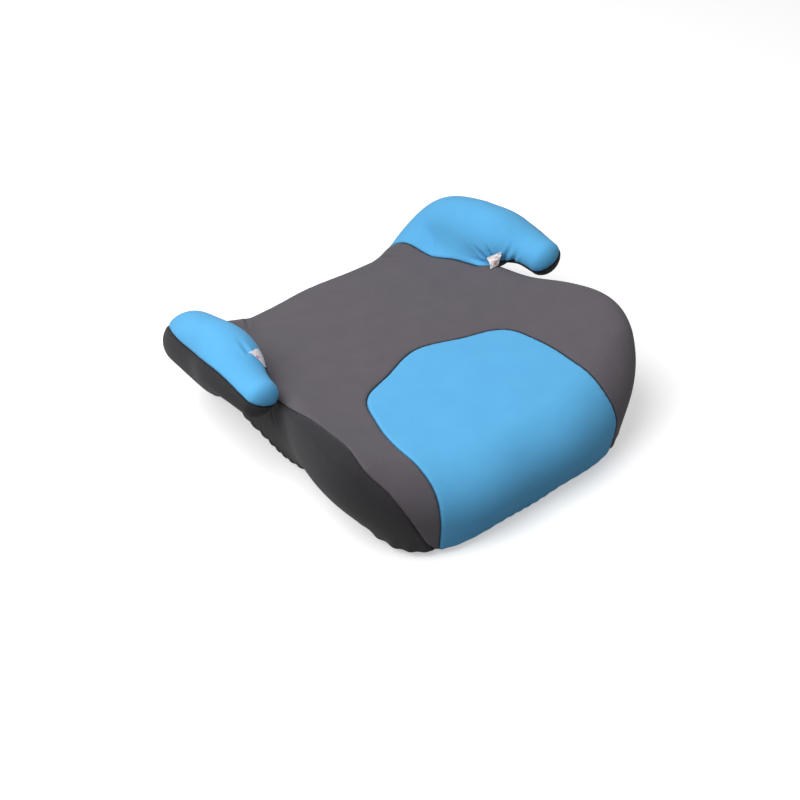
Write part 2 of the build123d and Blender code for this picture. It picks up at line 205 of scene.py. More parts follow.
def gradient(distance: Field, points: np.ndarray, step: float) -> np.ndarray:
    """Measure how a distance field changes at points.

    Args:
        distance: the field.
        points: where, one a row.
        step: how far to each side to look.

    Returns:
        The change a millimetre along X, Y and Z.
    """
    slopes = []
    for shift in np.eye(3) * step:
        slopes.append((distance(points + shift) - distance(points - shift)) / (2 * step))
    return np.stack(slopes, -1)


def outward(distance: Field, points: np.ndarray, step: float = 1.0) -> np.ndarray:
    """The way straight out of a distance field at points."""
    return unit(gradient(distance, points, step))


def settle(distance: Field, points: np.ndarray, level: float, held: tuple[float, float] = (-np.inf, np.inf),
           step: float = 1.0, rounds: int = 3) -> np.ndarray:
    """Move points straight in or out until a distance field has a given value there.

    Args:
        distance: the field.
        points: the points, one a row.
        level: the value to reach.
        held: the least and the most that a point may move inwards, such as 0 and infinity for inwards only.
        step: how far to each side the field's slope is measured.
        rounds: how often to correct.

    Returns:
        The moved points.
    """
    for _ in range(rounds):
        move = np.clip(distance(points) - level, *held)
        points = points - outward(distance, points, step) * move[:, None]
    return points


# ---------------------------------------------------------------- shapes


@dataclass(frozen=True)
class BodyShape:
    """The padded seat body: an outline that tucks in towards the floor under a saddle-shaped top."""

    radii: tuple[float, ...] = (
        191.1, 199.7, 208.7, 220.6, 214.7, 189.7, 170, 168, 183.9, 207.5, 212, 201.7, 201)
    tucks: tuple[float, ...] = (13.9, 17.7, 8, 20.1, 58, 58, 27.5, 14.1, 14.3, 16.4, 26.8, 29.5, 22.8)
    angle_step: float = 15.0
    nose_height: float = 87.9
    crown_height: float = 87.3
    rear_height: float = 63.3
    height_reach: float = 180.0
    dish: float = 7.0
    bolster: float = 40.0
    bolster_place: float = 185.0
    bolster_power: int = 5
    bolster_front: float = -215.0
    bolster_reach: float = 90.0
    widest_side: float = 84.0
    widest_nose: float = 84.0
    widest_rear: float = 81.6
    edge_side: float = 24.0
    edge_nose: float = 55.0
    edge_rear: float = 10.0
    lean: float = 5.0
    lean_height: float = 38.0
    bottom: float = 4.0
    bottom_edge: float = 7.0
    rear_facing: tuple[float, float] = (0.5, 0.85)
    nose_facing: tuple[float, float] = (0.3, 0.9)

    def __post_init__(self) -> None:
        """Make the closed lines of the outline and of the tuck."""
        knots = np.radians(np.arange(0, 361, self.angle_step))
        for name, half in (("outline", self.radii), ("tuck", self.tucks)):
            whole = half + half[-2::-1]
            object.__setattr__(self, name, SmoothLine(knots, whole, closed=True))

    def top(self, x: np.ndarray, y: np.ndarray) -> np.ndarray:
        """Give the height of the saddle-shaped top.

        Args:
            x: places across the plan.
            y: places along it.

        Returns:
            The height over each.
        """
        along = y / self.height_reach
        slope = (self.rear_height - self.nose_height) / 2
        crown = (self.rear_height + self.nose_height) / 2 - self.crown_height
        across = np.abs(x)
        rim = np.minimum(across / self.bolster_place, 1) ** self.bolster_power
        rim *= np.clip((y - self.bolster_front) / self.bolster_reach, 0, 1)
        trough = self.dish * (across / self.height_reach) ** 2
        return self.crown_height + slope * along + crown * along**2 + trough + self.bolster * rim

    def distance(self, points: np.ndarray) -> np.ndarray:
        """Measure how far points lie outside the body.

        Args:
            points: places in millimetres, along the last axis.

        Returns:
            The distance of each, negative inside.
        """
        x, y, z = points[..., 0], points[..., 1], points[..., 2]
        reach = np.hypot(x, y)
        angle = np.arctan2(np.abs(x), -y)
        facing = y / np.maximum(reach, 1)
        rear = ramp(facing, *self.rear_facing)
        nose = ramp(-facing, *self.nose_facing)
        side = 1 - rear - nose
        widest = self.widest_side * side + self.widest_rear * rear + self.widest_nose * nose
        edge = self.edge_side * side + self.edge_rear * rear + self.edge_nose * nose
        under = self.tuck(angle) * np.clip(1 - z / widest, 0, None) ** 2
        over = self.lean * side * np.clip((z - widest) / self.lean_height, 0, 1) ** 2
        wall = reach - self.outline(angle) + under + over
        shoulder = rounded_cut(wall, z - self.top(x, y), edge)
        return rounded_cut(shoulder, self.bottom - z, self.bottom_edge)


@dataclass(frozen=True)
class HornShape:
    """An armrest: an oval tube that rises out of the rear corner and bends forward, on the right."""

    line: Line = (
        (132, 171.4, 42.6), (170.3, 156.2, 92.7), (172.6, 100.2, 103.7), (179, 70.3, 113.2), (184.4, 44.5, 114.9),
        (185.2, 13.8, 112.9))
    half_widths: tuple[float, ...] = (33, 30.8, 33.3, 32.6, 26.5, 20.8)
    half_heights: tuple[float, ...] = (36.6, 29.1, 38.8, 30.7, 20.7, 20.0)
    root_roll_deg: float = -17.5
    tip_roll_deg: float = 2.1
    tip_length: float = 14.0
    root_length: float = 30.0
    samples: int = 120
    block: int = 20000
    far: float = 60.0
    low: tuple[float, float, float] = (84, -14, 0)
    high: tuple[float, float, float] = (236, 228, 156)

    def __post_init__(self) -> None:
        """Make the smooth lines of the centre and of both half sizes."""
        steps = np.linalg.norm(np.diff(self.line, axis=0), axis=1)
        length = float(steps.sum())
        knots = np.concatenate([[0], np.cumsum(steps)]) / length
        object.__setattr__(self, "length", length)
        object.__setattr__(self, "centre", SmoothLine(knots, self.line))
        sizes = np.stack([self.half_widths, self.half_heights], -1)
        object.__setattr__(self, "sizes", SmoothLine(knots, sizes))
        object.__setattr__(self, "marks", self.centre(np.linspace(0, 1, self.samples)))

    def frame_at(self, share: np.ndarray) -> tuple[np.ndarray, np.ndarray, np.ndarray, np.ndarray]:
        """Find the horn's own directions.

        Args:
            share: places along the horn, from 0 at the root to 1 at the tip.

        Returns:
            The centre, the way along, the way outboard and the way up at each.
        """
        centre, along = self.centre.place(share)
        along = unit(along)
        level = unit(np.stack([-along[..., 1], along[..., 0], 0 * share], -1))
        rise = np.cross(along, level)
        rise *= np.sign(rise[..., 2:])
        roll = np.radians(self.root_roll_deg + (self.tip_roll_deg - self.root_roll_deg) * share)[..., None]
        out = level * np.cos(roll) + rise * np.sin(roll)
        return centre, along, out, rise * np.cos(roll) - level * np.sin(roll)

    def place(self, points: np.ndarray) -> tuple[np.ndarray, np.ndarray, np.ndarray]:
        """Find where points lie against the horn.

        Args:
            points: places in millimetres, one a row, on either side of the seat.

        Returns:
            The distance outside the horn, the angle round it in degrees, with 0 inboard and 90 on top,
            and the share along it from root to tip.
        """
        right = on_right(points)
        closest = [np.argmin((self.marks**2).sum(1) - 2 * right[start:start + self.block] @ self.marks.T, 1)
                   for start in range(0, len(right), self.block)]
        share = np.concatenate(closest) / (self.samples - 1)
        for _ in range(2):
            centre, along, out, up = self.frame_at(share)
            share = np.clip(share + ((right - centre) * along).sum(1) / self.length, 0, 1)
        centre, along, out, up = self.frame_at(share)
        offset = right - centre
        width, height = self.sizes(share).T
        beyond = np.where((share >= 1) | (share <= 0), (offset * along).sum(1), 0)
        cap = np.where(share >= 1, self.tip_length, self.root_length)
        across, rise = (offset * out).sum(1), (offset * up).sum(1)
        ratio = np.sqrt((across / width) ** 2 + (rise / height) ** 2 + (beyond / cap) ** 2) + 1e-9
        distance = np.sqrt(across**2 + rise**2 + beyond**2) * (1 - 1 / ratio)
        angle = np.degrees(np.arctan2(rise / height, -across / width))
        return distance, angle, share

    def distance(self, points: np.ndarray) -> np.ndarray:
        """Measure how far points lie outside the two horns.

        Args:
            points: places in millimetres, along the last axis.

        Returns:
            The distance of each, negative inside, and plainly far for points nowhere near a horn.
        """
        flat = on_right(points.reshape(-1, 3))
        near = np.all((flat > self.low) & (flat < self.high), axis=1)
        distance = np.full(len(flat), self.far)
        if near.any():
            distance[near] = self.place(flat[near])[0]
        return distance.reshape(points.shape[:-1])


@dataclass(frozen=True)
class SeatShape:
    """Body and horns together. The cloth bridges the corner at a horn's root and leaves the tip free."""

    body: BodyShape = field(default_factory=BodyShape)
    horn: HornShape = field(default_factory=HornShape)
    tip_fillet: float = 1.2
    root_fillet: float = 22.0
    root_start: tuple[float, float] = (50.0, 110.0)

    def distance(self, points: np.ndarray) -> np.ndarray:
        """Measure how far points lie outside the covered seat.

        Args:
            points: places in millimetres, along the last axis.

        Returns:
            The distance of each, negative inside.
        """
        radius = self.tip_fillet + self.root_fillet * ramp(points[..., 1], *self.root_start)
        return soft_union(self.body.distance(points), self.horn.distance(points), radius)


# ---------------------------------------------------------------- meshes


@dataclass
class Surface:
    """A mesh of triangles, in millimetres."""

    points: np.ndarray
    triangles: np.ndarray

    def edges(self) -> np.ndarray:
        """Every directed edge, three to a triangle."""
        return np.concatenate([self.triangles[:, [k, (k + 1) % 3]] for k in range(3)])

    def normals(self) -> np.ndarray:
        """Find the normal at each point.

        Returns:
            The mean of the normals of the triangles round it, larger triangles counting for more.
        """
        a, b, c = (self.points[self.triangles[:, k]] for k in range(3))
        facets = np.cross(b - a, c - a)
        total = np.zeros_like(self.points)
        for k in range(3):
            np.add.at(total, self.triangles[:, k], facets)
        return total / np.maximum(np.linalg.norm(total, axis=1, keepdims=True), 1e-12)

    def rim(self) -> np.ndarray:
        """Find the edges of the surface's openings.

        Returns:
            The directed edges that only one triangle has.
        """
        directed, count = self.edges(), len(self.points)
        keys, back = (directed[:, k] * count + directed[:, 1 - k] for k in (0, 1))
        return directed[~np.isin(keys, back)]

    def part(self, chosen: np.ndarray) -> tuple["Surface", np.ndarray]:
        """Take some of the triangles as a surface of their own.

        Args:
            chosen: which triangles.

        Returns:
            That surface, and the index of each of its points in this one.
        """
        used, index = np.unique(self.triangles[chosen], return_inverse=True)
        return Surface(self.points[used], index.reshape(-1, 3)), used

    @staticmethod
    def together(parts: Sequence["Surface"]) -> "Surface":
        """Put surfaces side by side as one.

        Args:
            parts: the surfaces.

        Returns:
            One surface, in their order, with no points merged.
        """
        offsets = np.cumsum([0] + [len(part.points) for part in parts])
        return Surface(np.concatenate([part.points for part in parts]),
                       np.concatenate([part.triangles + offset for part, offset in zip(parts, offsets)]))


def wrap(distance: Field, low: Sequence[float], high: Sequence[float], step: float) -> Surface:
    """Wrap a distance field in a closed mesh of even triangles.

    Each cell of a grid that the face runs through gets one point, in the middle of where the face crosses
    the cell's edges. Each crossed edge gets two triangles between the four cells round it.

    Args:
        distance: the field, negative inside.
        low: the lowest corner of the space to look in.
        high: its highest corner.
        step: the size of a triangle's side.

    Returns:
        The mesh, facing outwards.
    """
    axes = [np.arange(a, b + step, step) for a, b in zip(low, high)]
    values = np.empty([len(axis) for axis in axes])
    plan = np.stack(np.meshgrid(axes[0], axes[1], indexing="ij"), -1)
    for k, z in enumerate(axes[2]):
        values[:, :, k] = distance(np.concatenate([plan, np.full(plan.shape[:2] + (1,), z)], -1))
    inside = values < 0
    cells = [count - 1 for count in values.shape]
    total = np.zeros(cells + [3])
    tally = np.zeros(cells)
    crossings = []
    for axis in range(3):
        near = tuple(slice(0, -1) if k == axis else slice(1, -1) for k in range(3))
        far = tuple(slice(1, None) if k == axis else slice(1, -1) for k in range(3))
        place = np.stack(np.nonzero(inside[near] != inside[far]), 1)
        place += [0 if k == axis else 1 for k in range(3)]
        here = values[tuple(place.T)]
        beyond = place.copy()
        beyond[:, axis] += 1
        spot = place.astype(float)
        spot[:, axis] += here / (here - values[tuple(beyond.T)])
        across = [(axis + 1) % 3, (axis + 2) % 3]
        ring = []
        for back in ((1, 1), (0, 1), (0, 0), (1, 0)):
            cell = place.copy()
            cell[:, across[0]] -= back[0]
            cell[:, across[1]] -= back[1]
            np.add.at(total, tuple(cell.T), spot)
            np.add.at(tally, tuple(cell.T), 1)
            ring.append(np.ravel_multi_index(cell.T, cells))
        ring = np.stack(ring, 1)
        ring[here > 0] = ring[here > 0][:, ::-1]
        crossings.append(ring)
    faces = np.concatenate(crossings)
    used, faces = np.unique(faces, return_inverse=True)
    faces = faces.reshape(-1, 4)
    points = total.reshape(-1, 3)[used] / tally.reshape(-1, 1)[used] * step + np.array([axis[0] for axis in axes])
    for _ in range(2):
        slope = gradient(distance, points, step / 5)
        move = distance(points)[:, None] * slope / np.maximum((slope**2).sum(1, keepdims=True), 0.3)
        points -= np.clip(move, -step, step)
    one = np.linalg.norm(points[faces[:, 0]] - points[faces[:, 2]], axis=1)
    two = np.linalg.norm(points[faces[:, 1]] - points[faces[:, 3]], axis=1)
    turned = np.where((one < two)[:, None], faces, np.roll(faces, -1, axis=1))
    return Surface(points, np.concatenate([turned[:, [0, 1, 2]], turned[:, [0, 2, 3]]]))


def cut(surface: Surface, values: np.ndarray, snap: float = 0.22) -> tuple[Surface, np.ndarray]:
    """Split a surface's triangles along the line where a value is zero.

    Args:
        surface: what to cut.
        values: a number at each point.
        snap: a point this near the line, as a share of an edge, moves on to it instead.

    Returns:
        The surface with the line in its edges, and the value at each of its points.
    """
    points, triangles, values = surface.points.copy(), surface.triangles, values.copy()
    pairs = np.unique(np.sort(surface.edges(), axis=1), axis=0)
    pairs = pairs[values[pairs[:, 0]] * values[pairs[:, 1]] < 0]
    share = values[pairs[:, 0]] / (values[pairs[:, 0]] - values[pairs[:, 1]])
    for end, other, part in ((0, 1, share), (1, 0, 1 - share)):
        near = part < snap
        start, goal = pairs[near, end], pairs[near, other]
        step = (surface.points[goal] - surface.points[start]) * part[near, None]
        points[start] = surface.points[start] + step
        values[start] = 0
    pairs = pairs[values[pairs[:, 0]] * values[pairs[:, 1]] < 0]
    share = (values[pairs[:, 0]] / (values[pairs[:, 0]] - values[pairs[:, 1]]))[:, None]
    added = points[pairs[:, 0]] * (1 - share) + points[pairs[:, 1]] * share
    count = len(points)
    keys = pairs[:, 0] * count + pairs[:, 1]
    order = np.argsort(keys)
    sides = np.sort(np.stack([triangles[:, [k, (k + 1) % 3]] for k in range(3)], 1), axis=2)
    wanted = sides[..., 0] * count + sides[..., 1]
    if not len(keys):
        return Surface(points, triangles), values
    found = np.clip(np.searchsorted(keys[order], wanted), 0, len(keys) - 1)
    middle = np.where(keys[order][found] == wanted, count + order[found], -1)
    split = (middle >= 0).sum(1)
    pieces = [triangles[split == 0]]
    points = np.concatenate([points, added])
    for k in range(3):
        first, second, lone = (triangles[:, (k + j) % 3] for j in range(3))
        one = (split == 1) & (middle[:, k] >= 0)
        pieces.append(np.stack([lone, first, middle[:, k]], 1)[one])
        pieces.append(np.stack([lone, middle[:, k], second], 1)[one])
        two = (split == 2) & (middle[:, k] < 0)
        a, b, c = first[two], second[two], lone[two]
        right, left = middle[two, (k + 1) % 3], middle[two, (k + 2) % 3]
        shorter = (np.linalg.norm(points[a] - points[right], axis=1)
                   < np.linalg.norm(points[b] - points[left], axis=1))[:, None]
        pieces.append(np.stack([left, right, c], 1))
        pieces.append(np.where(shorter, np.stack([a, b, right], 1), np.stack([a, b, left], 1)))
        pieces.append(np.where(shorter, np.stack([a, right, left], 1), np.stack([b, right, left], 1)))
    return Surface(points, np.concatenate(pieces)), np.concatenate([values, np.zeros(len(added))])


def divide(surface: Surface, field_of: Field) -> tuple[Surface, Surface]:
    """Part a surface along the line where a field is zero.

    Args:
        surface: what to part.
        field_of: gives the field's value at points.

    Returns:
        The part where the field is above zero, and the rest.
    """
    surface, values = cut(surface, field_of(surface.points))
    above = values[surface.triangles].sum(1) > 0
    return surface.part(above)[0], surface.part(~above)[0]


def nearest(points: np.ndarray, targets: np.ndarray) -> np.ndarray:
    """Measure how far each point is from the closest target.

    Args:
        points: the points, one a row.
        targets: the targets, one a row.

    Returns:
        The distances.
    """
    tree = KDTree(len(targets))
    for index, target in enumerate(targets):
        tree.insert(target, index)
    tree.balance()
    return np.array([tree.find(point)[2] for point in points])


def show(name: str, data: bpy.types.ID) -> bpy.types.Object:
    """Put an object with this data in the scene.

    Args:
        name: the object's name.
        data: its mesh, camera or lamp.

    Returns:
        The object, at the origin and unturned.
    """
    item = bpy.data.objects.new(name, data)
    bpy.context.scene.collection.objects.link(item)
    return item


def to_mesh(name: str, surface: Surface, skin: float = 0.0, smooth_rim: bool = False) -> bpy.types.Object:
    """Make a Blender object of a surface.

    Args:
        name: the object's name.
        surface: the outer face, in millimetres.
        skin: a thickness to give it inwards, in millimetres, or 0 for a surface that is closed already.
        smooth_rim: whether the rim is shaded as one with the faces.

    Returns:
        The object, at the origin, with its place in its mesh.
    """
    points, triangles = surface.points, surface.triangles
    corners = triangles.reshape(-1)
    sizes = np.full(len(triangles), 3)
    flat = np.zeros(len(triangles), bool)
    if skin:
        count, rim = len(points), surface.rim()
        points = np.concatenate([points, points - surface.normals() * skin])
        band = np.stack([rim[:, 1], rim[:, 0], rim[:, 0] + count, rim[:, 1] + count], 1)
        corners = np.concatenate([corners, (triangles[:, ::-1] + count).reshape(-1), band.reshape(-1)])
        sizes = np.concatenate([sizes, sizes, np.full(len(band), 4)])
        flat = np.concatenate([flat, flat, np.full(len(band), not smooth_rim)])
    mesh = bpy.data.meshes.new(name)
    mesh.vertices.add(len(points))
    mesh.vertices.foreach_set("co", (points * MM).astype(np.float32).reshape(-1))
    mesh.loops.add(len(corners))
    mesh.loops.foreach_set("vertex_index", corners.astype(np.int32))
    mesh.polygons.add(len(sizes))
    starts = np.concatenate([[0], np.cumsum(sizes)[:-1]])
    mesh.polygons.foreach_set("loop_start", starts.astype(np.int32))
    mesh.polygons.foreach_set("use_smooth", ~flat)
    mesh.update(calc_edges=True)
    mesh.validate()
    return show(name, mesh)


def paint_uv(piece: bpy.types.Object, flat: np.ndarray, name: str) -> None:
    """Give a skin a map: how many metres across and along the flat cut each point lies.

    Args:
        piece: a skin made by to_mesh.
        flat: the place of each outer point in the flat cut, in millimetres.
        name: the map's name.
    """
    mesh = piece.data
    corner_points = np.empty(len(mesh.loops), np.int32)
    mesh.loops.foreach_get("vertex_index", corner_points)
    layer = mesh.uv_layers.new(name=name)
    layer.data.foreach_set("uv", (flat[corner_points % len(flat)] * MM).astype(np.float32).reshape(-1))


def paint_attribute(piece: bpy.types.Object, name: str, values: np.ndarray) -> None:
    """Store a number at each point of a skin.

    Args:
        piece: a skin made by to_mesh.
        name: the attribute's name.
        values: the number of each outer point; the inner ones get the same.
    """
    whole = np.resize(values, len(piece.data.vertices))
    piece.data.attributes.new(name, "FLOAT", "POINT").data.foreach_set("value", whole.astype(np.float32))


def copy_of(node: str, name: str) -> bpy.types.Object:
    """Copy a CAD node's mesh as a piece of its own, with its doubled points merged.

    Args:
        node: the node's name.
        name: the piece's name.

    Returns:
        The piece, without a material.
    """
    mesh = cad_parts[node].data.copy()
    mesh.materials.clear()
    work = bmesh.new()
    work.from_mesh(mesh)
    bmesh.ops.remove_doubles(work, verts=work.verts, dist=0.002 * MM)
    work.to_mesh(mesh)
    work.free()
    mesh.name = name
    return show(name, mesh)


def read_points(piece: bpy.types.Object) -> tuple[np.ndarray, np.ndarray]:
    """Read a piece's points.

    Args:
        piece: the piece.

    Returns:
        Their places in millimetres, and their normals.
    """
    count = len(piece.data.vertices)
    points, normals = np.empty(count * 3, np.float32), np.empty(count * 3, np.float32)
    piece.data.vertices.foreach_get("co", points)
    piece.data.vertex_normals.foreach_get("vector", normals)
    return points.reshape(-1, 3).astype(float) / MM, normals.reshape(-1, 3).astype(float)


def write_points(piece: bpy.types.Object, points: np.ndarray) -> None:
    """Move a piece's points, and shade all its faces smooth.

    Args:
        piece: the piece.
        points: their new places, in millimetres.
    """
    piece.data.vertices.foreach_set("co", (points * MM).astype(np.float32).reshape(-1))
    piece.data.update()
    piece.data.polygons.foreach_set("use_smooth", np.ones(len(piece.data.polygons), bool))


def bake_modifiers(piece: bpy.types.Object) -> None:
    """Turn what a piece's modifiers make into its plain mesh, and remove them.

    Args:
        piece: the piece.
    """
    done = piece.evaluated_get(bpy.context.evaluated_depsgraph_get())
    mesh = bpy.data.meshes.new_from_object(done)
    piece.modifiers.clear()
    piece.data = mesh


# ---------------------------------------------------------------- finishes


def linear(colour: str) -> tuple[float, float, float, float]:
    """Turn an sRGB hex colour such as '#70beee' into the linear one that the shader reads."""
    parts = [int(colour[k:k + 2], 16) / 255 for k in (1, 3, 5)]
    return tuple(p / 12.92 if p <= 0.04045 else ((p + 0.055) / 1.055) ** 2.4 for p in parts) + (1.0,)


def add_node(tree: bpy.types.NodeTree, kind: str, settings: dict | None = None,
             inputs: dict | None = None) -> bpy.types.Node:
    """Add a node with its settings and links.

    Args:
        tree: the tree that gets the node.
        kind: the node's type name.
        settings: properties to set on it.
        inputs: for each input, by name or index, a value, a socket to link from, or a node, which stands
            for its first output.

    Returns:
        The node.
    """
    node = tree.nodes.new(kind)
    for name, value in (settings or {}).items():
        setattr(node, name, value)
    for name, value in (inputs or {}).items():
        if isinstance(value, bpy.types.Node):
            value = value.outputs[0]
        if isinstance(value, bpy.types.NodeSocket):
            tree.links.new(value, node.inputs[name])
        else:
            node.inputs[name].default_value = value
    return node


def new_material(name: str) -> tuple[bpy.types.Material, bpy.types.NodeTree]:
    """Make a material and empty its tree.

    Args:
        name: the material's name.

    Returns:
        The material and its tree.
    """
    material = bpy.data.materials.new(name)
    material.use_nodes = True
    material.node_tree.nodes.clear()
    return material, material.node_tree


@dataclass(frozen=True)
class Finish:
    """What a piece is made of. Each kind lays its own pattern."""

    name: str

    def material(self) -> bpy.types.Material:
        """Make the material.

        Returns:
            The material, with its pattern in a Principled shader.
        """
        material, tree = new_material(self.name)
        shader = add_node(tree, "ShaderNodeBsdfPrincipled", inputs=self.pattern(tree))
        add_node(tree, "ShaderNodeOutputMaterial", inputs={"Surface": shader})
        return material

    def pattern(self, tree: bpy.types.NodeTree) -> dict:
        """Lay the nodes of the pattern.

        Args:
            tree: the material's tree.

        Returns:
            What each of the shader's inputs gets.
        """
        raise NotImplementedError


@dataclass(frozen=True)
class KnitFabric(Finish):
    """Fine weft-knit stretch polyester: matte, with columns of small stitches and a slight bloom.

    The real knit has about 12 wales to the centimetre. It is drawn nearly twice as coarse, so that it shows.
    """

    colour: str
    shade: str
    wale_mm: float = 1.5
    course_mm: float = 1.1
    relief_mm: float = 0.48
    sheen: float = 0.08
    # How dark the painted shade in the seam grooves gets, as a share of the plain colour.
    seam_painted_shade: float = 0.42
    seam_core_mm: float = 0.3
    seam_reach_mm: float = 1.5

    def pattern(self, tree: bpy.types.NodeTree) -> dict:
        """Knit along the cloth map, so that it follows each panel, mottled, with painted shade down in the seam
        grooves.

        Args:
            tree: the material's tree.

        Returns:
            What each of the shader's inputs gets.
        """
        cloth = add_node(tree, "ShaderNodeUVMap", {"uv_map": "cloth"})
        place = add_node(tree, "ShaderNodeSeparateXYZ", inputs={0: cloth})
        column = add_node(tree, "ShaderNodeMath", {"operation": "MULTIPLY"}, {
            0: place.outputs[0], 1: 1000 / self.wale_mm})
        across = add_node(tree, "ShaderNodeMath", {"operation": "PINGPONG"}, {0: column, 1: 0.5})
        row = add_node(tree, "ShaderNodeMath", {"operation": "MULTIPLY"}, {
            0: place.outputs[1], 1: 1000 / self.course_mm})
        slant = add_node(tree, "ShaderNodeMath", {"operation": "ADD"}, {0: row, 1: across})
        stitch = add_node(tree, "ShaderNodeMath", {"operation": "PINGPONG"}, {0: slant, 1: 0.5})
        knit = add_node(tree, "ShaderNodeMath", {"operation": "MULTIPLY"}, {0: stitch, 1: across})
        body = add_node(tree, "ShaderNodeTexCoord").outputs["Object"]
        mottle = add_node(tree, "ShaderNodeTexNoise", inputs={
            "Vector": body, "Scale": 45.0, "Detail": 4.0, "Roughness": 0.6})
        fuzz = add_node(tree, "ShaderNodeTexNoise", inputs={
            "Vector": body, "Scale": 700.0, "Detail": 2.0, "Roughness": 0.6})
        blend = add_node(tree, "ShaderNodeMath", {"operation": "MULTIPLY_ADD"}, {0: mottle, 1: 0.7, 2: -0.1})
        tone = add_node(tree, "ShaderNodeMath", {"operation": "MULTIPLY_ADD", "use_clamp": True}, {
            0: fuzz, 1: 0.6, 2: blend})
        plain = add_node(tree, "ShaderNodeMix", {"data_type": "RGBA"}, {
            "Factor": tone, "A": linear(self.shade), "B": linear(self.colour)})
        # Painted shade: the colour darkens towards each seam, standing in for the shadow in the seam's groove.
        near = add_node(tree, "ShaderNodeAttribute", {"attribute_name": "seam_mm"})
        depth = add_node(tree, "ShaderNodeMapRange", {"interpolation_type": "SMOOTHSTEP"}, {
            "Value": near.outputs["Fac"], "From Min": self.seam_core_mm, "From Max": self.seam_reach_mm,
            "To Min": self.seam_painted_shade, "To Max": 1.0})
        sewn = add_node(tree, "ShaderNodeMix", {"data_type": "RGBA", "blend_type": "MULTIPLY"}, {
            "Factor": 1.0, "A": plain.outputs["Result"], "B": depth})
        relief = add_node(tree, "ShaderNodeMath", {"operation": "MULTIPLY_ADD"}, {0: fuzz, 1: 0.12, 2: knit})
        bump = add_node(tree, "ShaderNodeBump", inputs={
            "Height": relief, "Strength": 0.5, "Distance": self.relief_mm * MM})
        return {"Base Color": sewn.outputs["Result"], "Normal": bump, "Roughness": 0.9,
                "Specular IOR Level": 0.2, "Sheen Weight": self.sheen, "Sheen Roughness": 0.55}


@dataclass(frozen=True)
class MouldedPlastic(Finish):
    """Injection-moulded polypropylene with a fine spark-eroded grain and faint flow marks."""

    colour: str
    roughness: float = 0.5
    grain_mm: float = 0.8

    def pattern(self, tree: bpy.types.NodeTree) -> dict:
        """Grain in the surface, and flow marks in colour and gloss.

        Args:
            tree: the material's tree.

        Returns:
            What each of the shader's inputs gets.
        """
        body = add_node(tree, "ShaderNodeTexCoord").outputs["Object"]
        grain = add_node(tree, "ShaderNodeTexNoise", inputs={
            "Vector": body, "Scale": 1000 / self.grain_mm, "Detail": 2.0})
        flow = add_node(tree, "ShaderNodeTexNoise", inputs={"Vector": body, "Scale": 14.0, "Detail": 2.0})
        tone = add_node(tree, "ShaderNodeMapRange", inputs={"Value": flow, "To Min": 0.85, "To Max": 1.12})
        mix = add_node(tree, "ShaderNodeMix", {"data_type": "RGBA", "blend_type": "MULTIPLY"}, {
            "Factor": 1.0, "A": linear(self.colour), "B": tone})
        rough = add_node(tree, "ShaderNodeMapRange", inputs={
            "Value": flow, "To Min": self.roughness - 0.06, "To Max": self.roughness + 0.08})
        bump = add_node(tree, "ShaderNodeBump", inputs={"Height": grain, "Strength": 0.25, "Distance": 0.0001})
        return {"Base Color": mix.outputs["Result"], "Roughness": rough, "Normal": bump, "IOR": 1.49}


@dataclass(frozen=True)
class MouldedRubber(Finish):
    """Matte moulded rubber with a dusty bloom, as on a non-slip foot."""

    name: str = "moulded_rubber"
    colour: str = "#1f1f20"
    bloom: str = "#3a3937"

    def pattern(self, tree: bpy.types.NodeTree) -> dict:
        """Paler patches where dust has rubbed in.

        Args:
            tree: the material's tree.

        Returns:
            What each of the shader's inputs gets.
        """
        body = add_node(tree, "ShaderNodeTexCoord").outputs["Object"]
        dust = add_node(tree, "ShaderNodeTexNoise", inputs={
            "Vector": body, "Scale": 160.0, "Detail": 5.0, "Roughness": 0.65})
        share = add_node(tree, "ShaderNodeMapRange", inputs={"Value": dust, "From Min": 0.45, "From Max": 0.8})
        mix = add_node(tree, "ShaderNodeMix", {"data_type": "RGBA"}, {
            "Factor": share, "A": linear(self.colour), "B": linear(self.bloom)})
        bump = add_node(tree, "ShaderNodeBump", inputs={"Height": dust, "Strength": 0.3, "Distance": 0.0003})
        return {"Base Color": mix.outputs["Result"], "Roughness": 0.82, "IOR": 1.52, "Normal": bump}


@dataclass(frozen=True)
class ZincSteel(Finish):
    """Zinc-plated steel with its bluish, slightly cloudy passivated skin."""

    name: str = "zinc_plated_steel"
    colour: str = "#b6b9bd"
    cloud: str = "#9aa0a6"

    def pattern(self, tree: bpy.types.NodeTree) -> dict:
        """Clouds in colour and roughness.

        Args:
            tree: the material's tree.

        Returns:
            What each of the shader's inputs gets.
        """
        body = add_node(tree, "ShaderNodeTexCoord").outputs["Object"]
        cloud = add_node(tree, "ShaderNodeTexNoise", inputs={"Vector": body, "Scale": 420.0, "Detail": 3.0})
        mix = add_node(tree, "ShaderNodeMix", {"data_type": "RGBA"}, {
            "Factor": cloud, "A": linear(self.colour), "B": linear(self.cloud)})
        rough = add_node(tree, "ShaderNodeMapRange", inputs={"Value": cloud, "To Min": 0.28, "To Max": 0.46})
        return {"Base Color": mix.outputs["Result"], "Metallic": 1.0, "Roughness": rough}


